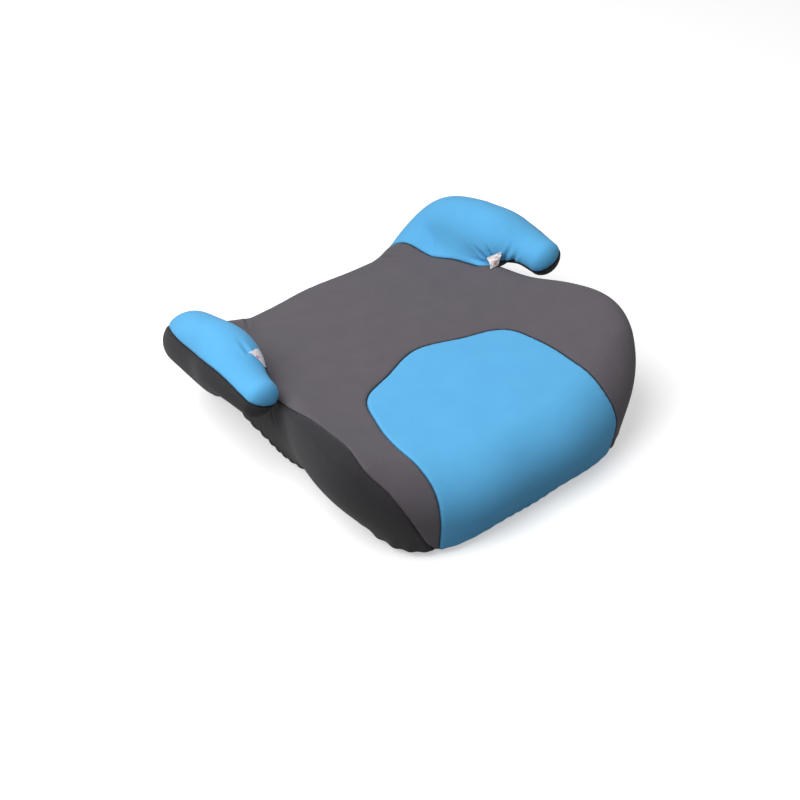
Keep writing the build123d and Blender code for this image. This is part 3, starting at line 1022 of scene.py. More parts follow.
@dataclass(frozen=True)
class BraidedElastic(Finish):
    """Braided elastic cord: rubber strands under a plaited polyester sleeve.

    The plait's 1 mm strands are drawn some 2.5 mm wide, so that they show.
    """

    name: str = "braided_elastic"
    colour: str = "#232325"
    wave_scale: float = 62.5
    strand_turn: tuple[float, float, float] = (0.6, 0.6, 0.785)

    def pattern(self, tree: bpy.types.NodeTree) -> dict:
        """Two families of slanting strands, each the other's mirror image.

        Args:
            tree: the material's tree.

        Returns:
            What each of the shader's inputs gets.
        """
        body = add_node(tree, "ShaderNodeTexCoord").outputs["Object"]
        waves = []
        for tilt in (1.0, -1.0):
            roll, pitch, yaw = self.strand_turn
            turned = add_node(tree, "ShaderNodeMapping", inputs={
                "Vector": body, "Rotation": (roll * tilt, pitch, yaw * tilt)})
            waves.append(add_node(tree, "ShaderNodeTexWave", {"wave_profile": "SIN"}, {
                "Vector": turned, "Scale": self.wave_scale}).outputs["Fac"])
        plait = add_node(tree, "ShaderNodeMath", {"operation": "MAXIMUM"}, dict(enumerate(waves)))
        tone = add_node(tree, "ShaderNodeMapRange", inputs={"Value": plait, "To Min": 0.45, "To Max": 1.25})
        mix = add_node(tree, "ShaderNodeMix", {"data_type": "RGBA", "blend_type": "MULTIPLY"}, {
            "Factor": 1.0, "A": linear(self.colour), "B": tone})
        bump = add_node(tree, "ShaderNodeBump", inputs={"Height": plait, "Strength": 0.7, "Distance": 0.0004})
        return {"Base Color": mix.outputs["Result"], "Roughness": 0.78, "Normal": bump}


@dataclass(frozen=True)
class SeatFoam(Finish):
    """Open-cell polyurethane foam: cream, with cut cells about 1 mm across and a yellower skin in patches."""

    name: str = "polyurethane_foam"
    colour: str = "#cfc9b8"
    aged: str = "#c2b184"
    cell_mm: float = 1.2

    def pattern(self, tree: bpy.types.NodeTree) -> dict:
        """Pits where the cells are cut, and patches of age.

        Args:
            tree: the material's tree.

        Returns:
            What each of the shader's inputs gets.
        """
        body = add_node(tree, "ShaderNodeTexCoord").outputs["Object"]
        cells = add_node(tree, "ShaderNodeTexVoronoi", inputs={"Vector": body, "Scale": 1000 / self.cell_mm})
        age = add_node(tree, "ShaderNodeTexNoise", inputs={"Vector": body, "Scale": 18.0, "Detail": 3.0})
        mix = add_node(tree, "ShaderNodeMix", {"data_type": "RGBA"}, {
            "Factor": age, "A": linear(self.colour), "B": linear(self.aged)})
        bump = add_node(tree, "ShaderNodeBump", {"invert": True}, {
            "Height": cells.outputs["Distance"], "Strength": 0.6, "Distance": 0.0005})
        return {"Base Color": mix.outputs["Result"], "Roughness": 0.95, "Specular IOR Level": 0.2,
                "Normal": bump}


@dataclass(frozen=True)
class LabelSatin(Finish):
    """Woven polyester satin, off-white and softly shiny, with a faded print of plain bars and a spot."""

    ink: str
    spot: tuple[float, float]
    spot_size: float
    colour: str = "#f1ecec"
    bars: float = 0.45
    bar_count: float = 7.0

    def pattern(self, tree: bpy.types.NodeTree) -> dict:
        """Print on the map on which the label is one unit square.

        Args:
            tree: the material's tree.

        Returns:
            What each of the shader's inputs gets.
        """
        cloth = add_node(tree, "ShaderNodeUVMap", {"uv_map": "print"})
        place = add_node(tree, "ShaderNodeSeparateXYZ", inputs={0: cloth})
        lines = add_node(tree, "ShaderNodeMath", {"operation": "MULTIPLY"}, {
            0: place.outputs[1], 1: self.bar_count})
        band = add_node(tree, "ShaderNodeMath", {"operation": "FRACT"}, {0: lines})
        bar = add_node(tree, "ShaderNodeMath", {"operation": "GREATER_THAN"}, {0: band, 1: 0.66})
        wear = add_node(tree, "ShaderNodeTexNoise", inputs={"Vector": cloth, "Scale": 9.0, "Detail": 3.0})
        worn = add_node(tree, "ShaderNodeMapRange", inputs={
            "Value": wear, "From Min": 0.42, "From Max": 0.68, "To Max": self.bars})
        printed = add_node(tree, "ShaderNodeMath", {"operation": "MULTIPLY"}, {0: bar, 1: worn})
        away = add_node(tree, "ShaderNodeVectorMath", {"operation": "DISTANCE"}, {
            0: cloth, 1: (*self.spot, 0.0)})
        spot = add_node(tree, "ShaderNodeMapRange", {"interpolation_type": "SMOOTHSTEP"}, {
            "Value": away.outputs["Value"], "From Min": self.spot_size * 0.6, "From Max": self.spot_size,
            "To Min": 0.85, "To Max": 0.0})
        ink = add_node(tree, "ShaderNodeMath", {"operation": "MAXIMUM"}, {0: printed, 1: spot})
        mix = add_node(tree, "ShaderNodeMix", {"data_type": "RGBA"}, {
            "Factor": ink, "A": linear(self.colour), "B": linear(self.ink)})
        return {"Base Color": mix.outputs["Result"], "Roughness": 0.42, "Sheen Weight": 0.2}


@dataclass(frozen=True)
class SewingThread(Finish):
    """Spun polyester thread, two plies twisted together."""

    name: str = "sewing_thread"
    colour: str = "#2a292b"

    def pattern(self, tree: bpy.types.NodeTree) -> dict:
        """The twist, as fine bands.

        Args:
            tree: the material's tree.

        Returns:
            What each of the shader's inputs gets.
        """
        body = add_node(tree, "ShaderNodeTexCoord").outputs["Object"]
        twist = add_node(tree, "ShaderNodeTexWave", inputs={"Vector": body, "Scale": 300.0, "Distortion": 1.0})
        tone = add_node(tree, "ShaderNodeMapRange", inputs={
            "Value": twist.outputs["Fac"], "To Min": 0.7, "To Max": 1.5})
        mix = add_node(tree, "ShaderNodeMix", {"data_type": "RGBA", "blend_type": "MULTIPLY"}, {
            "Factor": 1.0, "A": linear(self.colour), "B": tone})
        return {"Base Color": mix.outputs["Result"], "Roughness": 0.7, "Sheen Weight": 0.3}


# ---------------------------------------------------------------- cover


class Panel(Enum):
    """The panels that the cover is sewn from, by the names of the nodes they replace."""

    SEAT = "cover_seat_panel"
    INSERT = "cover_front_insert"
    REAR = "cover_rear_panel"
    SIDE_RIGHT = "cover_side_panel_right"
    SIDE_LEFT = "cover_side_panel_left"
    HORN_INNER_RIGHT = "armrest_cover_inner_right"
    HORN_INNER_LEFT = "armrest_cover_inner_left"
    HORN_OUTER_RIGHT = "armrest_cover_outer_right"
    HORN_OUTER_LEFT = "armrest_cover_outer_left"


@dataclass(frozen=True)
class SeamPlan:
    """Where the cover's seams run, in millimetres and degrees.

    The side seams are given by the angle round the seat, with 0 at the nose, and by the run up the wall
    and on over the edge. The cover sits a little to the left, as one pulled on by hand does, so the left
    side seam lies on top of the edge and the right one below it. The seams of root and horn are given by
    the place along Y.
    """

    insert_line: Line = (
        (0, 6.5), (52, -11.5), (84, -25), (95, -38), (101.5, -58), (107, -82), (109.5, -128), (110, -152),
        (112.5, -170), (116, -178))
    insert_front: float = -260.0
    insert_drift: float = 6.0
    insert_marks: int = 120
    drift_place: float = -115.0
    drift_reach: float = 65.0
    side_left: Line = (
        (0, -60), (31, -20), (36, 13), (42.8, 68), (47, 96), (51.3, 113), (56.6, 135), (65.4, 144), (75.3, 134),
        (84, 117), (92.9, 102.5), (101, 96), (115, 88), (130, 76), (145, 60), (180, 58))
    side_right: Line = (
        (0, -60), (31, -14), (37, 18), (43, 38), (51, 54), (60, 67), (73, 78), (96, 84), (117, 80), (133, 68),
        (148, 59), (180, 58))
    wall_foot: tuple[float, float] = (10.0, 20.0)
    rear_half_width: float = 92.0
    rear_top: float = 58.0
    rear_front: float = 104.0
    rear_corner: float = 18.0
    root_line: Line = ((40, 146), (55, 143.5), (86, 134.5), (121, 127), (162, 119.5), (200, 113))
    root_foot: float = 58.0
    root_start: tuple[float, float] = (55.0, 71.0)
    root_hold: tuple[float, float] = (24.0, 12.0)
    horn_low: Line = (
        (0, 168, 101.5), (12, 165, 102), (26, 161.5, 103.5), (42, 158.5, 101), (58, 153, 93.5), (90, 146, 72),
        (200, 128, 40))
    horn_high: Line = (
        (0, 199, 117), (12, 201, 121), (28, 203.5, 125.5), (56, 205, 129.5), (94, 204, 125), (138, 199, 117),
        (170, 190, 110), (200, 180, 104))

    def insert(self, points: np.ndarray) -> np.ndarray:
        """Measure how far points lie inside the front insert, seen from above.

        Args:
            points: places on the cover.

        Returns:
            The distance of each, negative outside.
        """
        half = np.array(self.insert_line, float)
        corners = np.concatenate([half[:0:-1] * [-1, 1], half])
        knots = np.concatenate([[0], np.cumsum(np.linalg.norm(np.diff(corners, axis=0), axis=1))])
        curve = SmoothLine(knots, corners)(np.linspace(0, knots[-1], self.insert_marks))
        outline = np.concatenate([curve, [[curve[-1, 0], self.insert_front], [curve[0, 0], self.insert_front]]])
        place = points[:, :2].copy()
        place[:, 0] += self.insert_drift * np.exp(-((place[:, 1] - self.drift_place) / self.drift_reach) ** 2)
        gap = np.full(len(place), np.inf)
        inside = np.zeros(len(place), bool)
        for start, end in zip(outline, np.roll(outline, -1, axis=0)):
            run = end - start
            share = np.clip(((place - start) @ run) / (run @ run), 0, 1)
            gap = np.minimum(gap, np.hypot(*(place - start - share[:, None] * run).T))
            if run[1]:
                crossed = (start[1] > place[:, 1]) != (end[1] > place[:, 1])
                inside ^= crossed & (place[:, 0] < start[0] + (place[:, 1] - start[1]) * run[0] / run[1])
        return np.where(inside, gap, -gap)

    def side(self, points: np.ndarray, body: BodyShape) -> np.ndarray:
        """Measure how far points lie below the seams between the seat panel and the side panels.

        Args:
            points: places on the cover.
            body: the seat body, whose outline the wall rises from.

        Returns:
            The run from each up to the seam on its side, negative above it.
        """
        x, y, z = points.T
        angle = np.arctan2(np.abs(x), -y)
        over = np.maximum(body.outline(angle) - np.hypot(x, y), 0)
        run = z + ramp(z, *self.wall_foot) * over
        seams = [follow(line, np.degrees(angle)) for line in (self.side_left, self.side_right)]
        return np.where(x < 0, *seams) - run

    def rear(self, points: np.ndarray) -> np.ndarray:
        """Measure how far points lie inside the rear panel, which has rounded corners.

        Args:
            points: places on the cover.

        Returns:
            The distance of each, negative outside.
        """
        room = np.stack([self.rear_top - points[:, 2], self.rear_half_width - np.abs(points[:, 0])], -1)
        room = np.minimum(room, self.rear_corner)
        inside = self.rear_corner - np.hypot(*(self.rear_corner - room).T)
        return np.where(points[:, 1] > self.rear_front, inside, -self.rear_corner)

    def root(self, points: np.ndarray, shape: SeatShape) -> np.ndarray:
        """Measure how far points lie on the armrest's side of its root seam.

        Args:
            points: places on the cover.
            shape: the covered seat.

        Returns:
            A value above zero on the armrest. Inboard the seam runs beside the crease, which the cloth
            bridges; outboard it lies in it.
        """
        crease = shape.body.distance(points) - shape.horn.distance(points)
        inboard = np.abs(points[:, 0]) - follow(self.root_line, points[:, 1])
        share = ramp(points[:, 1], *self.root_start) * ramp(inboard, *self.root_hold)
        return np.minimum(inboard * share + crease * (1 - share), points[:, 2] - self.root_foot)

    def horn(self, points: np.ndarray) -> np.ndarray:
        """Measure how far points lie inside a horn's inner panel, above the chord between its two seams.

        Args:
            points: places on the armrests.

        Returns:
            The distance of each, negative on the outer panel.
        """
        low, high = (follow(line, points[:, 1]) for line in (self.horn_low, self.horn_high))
        run = high - low
        offset = np.stack([np.abs(points[:, 0]), points[:, 2]], -1) - low
        return (offset[:, 1] * run[:, 0] - offset[:, 0] * run[:, 1]) / np.linalg.norm(run, axis=1)


@dataclass(frozen=True)
class Crease:
    """A fold in the stretched cloth: a line in space with a valley along it and a soft ridge each side."""

    line: Line
    width: float
    depth: float
    sides: tuple[int, ...] = (1, -1)
    ridge: float = 0.4
    fade: tuple[float, float] = (1.0, 1 / 6)
    marks: int = 9

    def laid(self, shape: SeatShape) -> "Crease":
        """Divide the fold's line evenly and lay it on the seat.

        Args:
            shape: the covered seat.

        Returns:
            The same fold, with that line.
        """
        line = np.array(self.line, float)
        at, knots = np.linspace(0, 1, self.marks), np.linspace(0, 1, len(line))
        points = np.stack([np.interp(at, knots, line[:, k]) for k in range(3)], -1)
        return replace(self, line=tuple(map(tuple, settle(shape.distance, points, 0))))

    def height(self, points: np.ndarray) -> np.ndarray:
        """Find how far the fold moves points out. It fades towards its line's end.

        Args:
            points: places on the cover.

        Returns:
            The move of each, negative in the valley.
        """
        line = np.array(self.line, float)
        best = np.full(len(points), np.inf)
        share = np.zeros(len(points))
        for index, (start, end) in enumerate(zip(line[:-1], line[1:])):
            run = end - start
            along = np.clip(((points - start) @ run) / (run @ run), 0, 1)
            gap = np.linalg.norm(points - start - along[:, None] * run, axis=1)
            closer = gap < best
            best = np.where(closer, gap, best)
            share = np.where(closer, (index + along) / (len(line) - 1), share)
        valley = np.exp(-(best / self.width) ** 2)
        ridge = np.exp(-((best - 2 * self.width) / self.width) ** 2)
        return self.depth * (self.ridge * ridge - valley) * ramp(share, *self.fade)


@dataclass(frozen=True)
class Gathers:
    """Small folds that the elastic draws into the cloth, deepest at the hem and faint on the nose."""

    count: int = 84
    depth: float = 1.1
    heights: tuple[float, float] = (32.0, 6.0)
    nose_share: float = 0.3
    nose_turn: tuple[float, float] = (0.4, 0.9)

    def height(self, points: np.ndarray) -> np.ndarray:
        """Find how far the folds move points out.

        Args:
            points: places on the cover.

        Returns:
            The move of each.
        """
        x, y, z = points.T
        turn = np.arctan2(x, -y)
        uneven = 2.2 * np.sin(5 * turn) + 1.4 * np.sin(11 * turn + 1)
        strength = 0.7 + 0.3 * np.sin(7 * turn + 2)
        beside_nose = self.nose_share + (1 - self.nose_share) * ramp(np.abs(turn), *self.nose_turn)
        return self.depth * ramp(z, *self.heights) * beside_nose * strength * np.sin(self.count * turn + uneven)


@dataclass
class Cover:
    """The whole sewn cover: its outer face, cut along every seam, and the panels made from it."""

    shape: SeatShape = field(default_factory=SeatShape)
    seams: SeamPlan = field(default_factory=SeamPlan)
    folds: Gathers = field(default_factory=Gathers)
    step: float = 2.0
    low: tuple[float, float, float] = (-238, -208, -4)
    high: tuple[float, float, float] = (238, 228, 150)
    thickness: float = 1.6
    hem_gap: float = 1.2
    hem_height: float = 7.0
    hem_step_deg: float = 4.0
    hem_window_deg: float = 3.0
    groove_depth: float = 2.0
    groove_width: float = 1.2
    groove_power: float = 1.4
    puff: float = 1.2
    puff_reach: float = 14.0
    pucker: float = 0.22
    pucker_length: float = 7.0
    pucker_reach: float = 4.0
    slack: float = 0.35
    slack_length: float = 55.0
    slack_reach: float = 20.0
    seam_gap: float = 0.2
    seam_width: float = 0.3
    merge: float = 0.002
    band_edges: tuple[float, ...] = (3.4, 1.9, 0.9)
    nose_line: float = -120.0
    shoulder: float = 40.0
    horn_radius: float = 30.0
    creases: tuple[Crease, ...] = (
        Crease(((150, 62, 99), (145, 71, 107), (141, 84, 115)), 1.9, 3.2),
        Crease(((150, 58, 107), (148, 64, 115), (147, 69, 123)), 1.7, 2.6),
        Crease(((158, 49, 104), (159, 42, 119), (166, 41, 131)), 2.0, 1.9, (1,)),
        Crease(((163, 43, 98), (161, 33, 116), (166, 32, 128)), 2.0, 1.6, (1,)),
        Crease(((149, 58, 98), (144, 70, 97), (140, 90, 95)), 1.9, 2.4),
        Crease(((96, 174, 67), (100, 164, 69), (106, 154, 72)), 2.0, 2.2),
        Crease(((168, 54, 137), (168, 64, 140), (166, 80, 142)), 2.8, 1.5, (-1,)),
        Crease(((194, 56, 84), (199, 38, 64), (203, 22, 44)), 3.2, 2.0),
        Crease(((196, 34, 88), (203, 14, 70), (208, -6, 54)), 3.0, 1.6),
        Crease(((193, 72, 74), (198, 62, 54), (203, 50, 34)), 3.0, 1.6),
    )

    def hem_reach(self) -> Field:
        """Find the hem's inner edge, just outside the elastic.

        Returns:
            What gives its distance from the middle for each angle.
        """
        ring = np.array([v.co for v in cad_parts["hem_elastic"].data.vertices]) / MM
        angle = np.arctan2(ring[:, 0], -ring[:, 1])
        reach = np.hypot(ring[:, 0], ring[:, 1])
        window = math.radians(self.hem_window_deg)
        bins = np.radians(np.arange(-180, 180, self.hem_step_deg))
        most = [reach[np.abs((angle - b + math.pi) % (2 * math.pi) - math.pi) < window].max() for b in bins]
        line = SmoothLine(np.append(bins, bins[0] + 2 * math.pi), most + most[:1], closed=True)
        return lambda turn: line((turn + math.pi) % (2 * math.pi) - math.pi) + self.hem_gap

    def build(self) -> dict[Panel, bpy.types.Object]:
        """Make every panel as a thin skin.

        Returns:
            The piece of each panel.
        """
        surface = wrap(self.shape.distance, self.low, self.high, self.step)
        log.info("cover face: %d triangles", len(surface.triangles))
        surface, labels, seam_points = self.sew(surface)
        surface, distance, labels = self.refine(surface, labels, seam_points)
        surface.points = surface.points + self.relief(surface.points, distance)
        panels = {}
        for number, panel in enumerate(Panel):
            part, used = surface.part(labels == number)
            panels[panel] = self.make_panel(panel, part, distance[used])
            log.info("%s: %d points", panel.value, len(part.points))
        return panels

    def sew(self, surface: Surface) -> tuple[Surface, np.ndarray, np.ndarray]:
        """Cut the face along every seam and say which panel each triangle belongs to.

        Args:
            surface: the outer face.

        Returns:
            The cut face without the hem's opening, a panel number for each triangle, and places
            all along the seams.
        """
        hem = self.hem_reach()

        def opening(points: np.ndarray) -> np.ndarray:
            """How far points lie inside the hem's opening."""
            inside = hem(np.arctan2(points[:, 0], -points[:, 1])) - np.hypot(points[:, 0], points[:, 1])
            return np.where(points[:, 2] < self.hem_height, inside, -50)

        _, face = divide(surface, opening)
        horn, body = divide(face, lambda points: self.seams.root(points, self.shape))
        inner, outer = divide(horn, self.seams.horn)
        insert, rest = divide(body, self.seams.insert)
        rear, rest = divide(rest, self.seams.rear)
        side, seat = divide(rest, lambda points: self.seams.side(points, self.shape.body))
        numbers = {panel: number for number, panel in enumerate(Panel)}
        parts, labels = [], []
        for part, right, left in ((inner, Panel.HORN_INNER_RIGHT, Panel.HORN_INNER_LEFT),
                                  (outer, Panel.HORN_OUTER_RIGHT, Panel.HORN_OUTER_LEFT),
                                  (insert, Panel.INSERT, Panel.INSERT), (rear, Panel.REAR, Panel.REAR),
                                  (side, Panel.SIDE_RIGHT, Panel.SIDE_LEFT), (seat, Panel.SEAT, Panel.SEAT)):
            on_the_right = part.points[part.triangles].mean(1)[:, 0] > 0
            parts.append(part)
            labels.append(np.where(on_the_right, numbers[right], numbers[left]))
        return self.join(Surface.together(parts), np.concatenate(labels))

    def join(self, surface: Surface, labels: np.ndarray) -> tuple[Surface, np.ndarray, np.ndarray]:
        """Merge the points that cut parts share, and find the seams between the panels.

        Args:
            surface: the parts, side by side.
            labels: the panel of each triangle.

        Returns:
            The joined face, the panels again, and places all along the seams.
        """
        _, first, index = np.unique(np.round(surface.points / self.merge).astype(np.int64), axis=0,
                                    return_index=True, return_inverse=True)
        surface = Surface(surface.points[first], index.reshape(-1)[surface.triangles])
        edges = np.sort(surface.edges(), axis=1)
        order = np.lexsort((edges[:, 1], edges[:, 0]))
        edges, owner = edges[order], np.tile(labels, 3)[order]
        seam = edges[1:][(edges[1:] == edges[:-1]).all(1) & (owner[1:] != owner[:-1])]
        start, end = surface.points[seam[:, 0], None], surface.points[seam[:, 1], None]
        shares = np.linspace(0, 1, 7)[:, None]
        return surface, labels, (start * (1 - shares) + end * shares).reshape(-1, 3)[::2]

    def refine(self, surface: Surface, labels: np.ndarray,
               seam_points: np.ndarray) -> tuple[Surface, np.ndarray, np.ndarray]:
        """Add rows of edges beside every seam, so that its groove has a shape.

        Args:
            surface: the cut face.
            labels: the panel of each triangle.
            seam_points: places all along the seams.

        Returns:
            The finer face, the distance of each point to the nearest seam, and the panels again.
        """
        distance = nearest(surface.points, seam_points)
        parts, gaps, codes = [], [], []
        for number in range(len(Panel)):
            part, used = surface.part(labels == number)
            gap = distance[used]
            for edge in self.band_edges:
                part, _ = cut(part, gap - edge, snap=0.3)
                gap = nearest(part.points, seam_points)
            parts.append(part)
            gaps.append(gap)
            codes.append(np.full(len(part.triangles), number))
        return Surface.together(parts), np.concatenate(gaps), np.concatenate(codes)

    def relief(self, points: np.ndarray, distance: np.ndarray) -> np.ndarray:
        """Find how far the cloth stands off the plain shape, as a move of each point.

        Args:
            points: the face's points.
            distance: how far each lies from a seam.

        Returns:
            The moves.
        """
        height = -self.puff * np.exp(-distance / self.puff_reach)
        height -= self.groove_depth * np.exp(-(distance / self.groove_width) ** self.groove_power)
        height += self.pucker * ripple(points, self.pucker_length, 3) * np.exp(-distance / self.pucker_reach)
        height += self.slack * ripple(points, self.slack_length, 4) * (1 - np.exp(-distance / self.slack_reach))
        for crease in self.creases:
            laid = crease.laid(self.shape)
            for side in crease.sides:
                height += laid.height(points * [side, 1, 1])
        return outward(self.shape.distance, points) * (height + self.folds.height(points))[:, None]

    def make_panel(self, panel: Panel, part: Surface, distance: np.ndarray) -> bpy.types.Object:
        """Turn one panel's outer face into a skin with its cloth map.

        Args:
            panel: which panel.
            part: its outer face.
            distance: how far each of its points lies from a seam.

        Returns:
            The panel's piece, its sewn edges drawn apart from its neighbours' by a hair.
        """
        on_rim = np.zeros(len(part.points), bool)
        on_rim[part.rim().reshape(-1)] = True
        pull = np.zeros_like(part.points)
        centre = part.points[part.triangles].mean(1)
        for k in range(3):
            np.add.at(pull, part.triangles[:, k], centre - part.points[part.triangles[:, k]])
        flat = self.cloth_map(panel, part.points)
        sewn = on_rim & (distance < self.seam_width)
        part.points = part.points + unit(pull) * sewn[:, None] * self.seam_gap
        piece = to_mesh(panel.value + "_cloth", part, skin=self.thickness)
        paint_uv(piece, flat, "cloth")
        paint_attribute(piece, "seam_mm", distance)
        return piece

    def cloth_map(self, panel: Panel, points: np.ndarray) -> np.ndarray:
        """Find the place of each point in a panel's flat cut.

        Args:
            panel: which panel.
            points: its points.

        Returns:
            How many millimetres across and along each lies: on seat and insert seen from above and run on
            down the nose, on rear and sides round the wall, on an armrest round and along the horn.
        """
        x, y, z = points.T
        if panel in (Panel.SEAT, Panel.INSERT):
            drop = np.maximum(self.shape.body.top(x, y) - z, 0)
            return np.stack([x, y - drop * (y < self.nose_line)], -1)
        if panel in (Panel.REAR, Panel.SIDE_LEFT, Panel.SIDE_RIGHT):
            angle = np.arctan2(x, -y) % (2 * math.pi)
            reach = self.shape.body.outline(angle)
            return np.stack([angle * reach, z - np.maximum(reach - np.hypot(x, y) - self.shoulder, 0)], -1)
        _, angle, share = self.shape.horn.place(points)
        if panel in (Panel.HORN_OUTER_LEFT, Panel.HORN_OUTER_RIGHT):
            angle = angle % 360
        return np.stack([np.radians(angle) * self.horn_radius, share * self.shape.horn.length], -1)


# ---------------------------------------------------------------- inside the cover


@dataclass(frozen=True)
class FoamCore:
    """A moulded foam piece that fills the cover out from inside."""

    node: str
    voxel: float = 4.0
    depth: float = 6.2
    reach: tuple[float, float] = (-26.0, -18.0)
    facing: tuple[float, float] = (0.2, 0.7)
    uneven: float = 0.25
    fill: float = 0.85

    def build(self, shape: SeatShape) -> bpy.types.Object:
        """Remesh the foam evenly and bring its outer faces up to the underside of the cloth.

        Args:
            shape: the covered seat.

        Returns:
            The foam piece.
        """
        piece = copy_of(self.node, self.node + "_padding")
        remesh = piece.modifiers.new("even", "REMESH")
        remesh.mode = "VOXEL"
        remesh.voxel_size = self.voxel * MM
        bake_modifiers(piece)
        points, normals = read_points(piece)
        distance = shape.distance(points)
        way = outward(shape.distance, points)
        outer = ramp((normals * way).sum(1), *self.facing) * ramp(distance, *self.reach)
        gap = -self.depth - distance
        move = np.minimum(gap * outer, gap) + self.uneven * (ripple(points, 9.0, 11) - 1) * outer
        points = settle(shape.distance, points + way * move[:, None], -self.depth, (0, np.inf), rounds=4)
        write_points(piece, points)
        return piece


@dataclass(frozen=True)
class InnerMoulding:
    """A hard moulding, kept clear of the stretched cloth over it."""

    node: str
    clearance: float = 7.0
    wall: float = 2.8
    sharp_deg: float = 32.0

    def build(self, shape: SeatShape) -> bpy.types.Object:
        """Draw in the walls that stand nearer to the cloth than the padding between them needs.

        Args:
            shape: the covered seat.

        Returns:
            The moulding, both faces of each wall drawn in alike.
        """
        piece = copy_of(self.node, self.node + "_moulding")
        points, normals = read_points(piece)
        for _ in range(2):
            way = outward(shape.distance, points)
            inner = ramp((normals * way).sum(1), 1, -1)
            need = np.maximum(shape.distance(points) + self.clearance + self.wall * inner, 0)
            points -= way * need[:, None]
        write_points(piece, points)
        piece.data.set_sharp_from_angle(angle=math.radians(self.sharp_deg))
        return piece


@dataclass(frozen=True)
class WashLabel:
    """A soft satin care label, sewn into the seam in the armrest's crook and crumpled by use."""

    node: str
    corners: Line
    seed: int
    finish: LabelSatin
    crumple: float = 1.3
    sewn_share: float = 0.3
    bow: float = 1.6
    clearance: float = 0.8
    columns: int = 29
    rows: int = 31
    thickness: float = 0.35

    def build(self, shape: SeatShape) -> bpy.types.Object:
        """Make the label as a thin closed skin that lies against the cover without entering it.

        Args:
            shape: the covered seat.

        Returns:
            The label, dressed.
        """
        across, along = np.meshgrid(np.linspace(0, 1, self.columns), np.linspace(0, 1, self.rows))
        u, v = across.reshape(-1, 1), along.reshape(-1, 1)
        a, b, c, d = (np.array(corner, float) for corner in self.corners)
        points = (1 - u) * (1 - v) * a + u * (1 - v) * b + u * v * c + (1 - u) * v * d
        way = outward(shape.distance, points.mean(0)[None])[0]
        facing = unit(np.cross(b - a, d - a))
        facing *= 1 if facing @ way > 0 else -1
        waves = ripple(points, 8.0, self.seed) + 0.5 * ripple(points, 4.0, self.seed + 1)
        loose = self.sewn_share + (1 - self.sewn_share) * v[:, 0]
        height = self.bow * np.sin(math.pi * v[:, 0]) + self.crumple * waves * loose
        points = settle(shape.distance, points + facing * height[:, None], self.clearance, (-np.inf, 0), step=0.6)
        index = np.arange(self.columns * self.rows).reshape(self.rows, self.columns)
        ring = (index[:-1, :-1], index[:-1, 1:], index[1:, 1:], index[1:, :-1])
        first, second, third, fourth = (corner.reshape(-1) for corner in ring)
        triangles = np.concatenate([np.stack([first, second, third], 1), np.stack([first, third, fourth], 1)])
        surface = Surface(points, triangles)
        if surface.normals().mean(0) @ way < 0:
            surface = Surface(points, triangles[:, ::-1])
        piece = to_mesh(self.node + "_satin", surface, skin=self.thickness, smooth_rim=True)
        paint_uv(piece, np.concatenate([u, v], 1) / MM, "print")
        piece.data.materials.append(self.finish.material())
        return piece


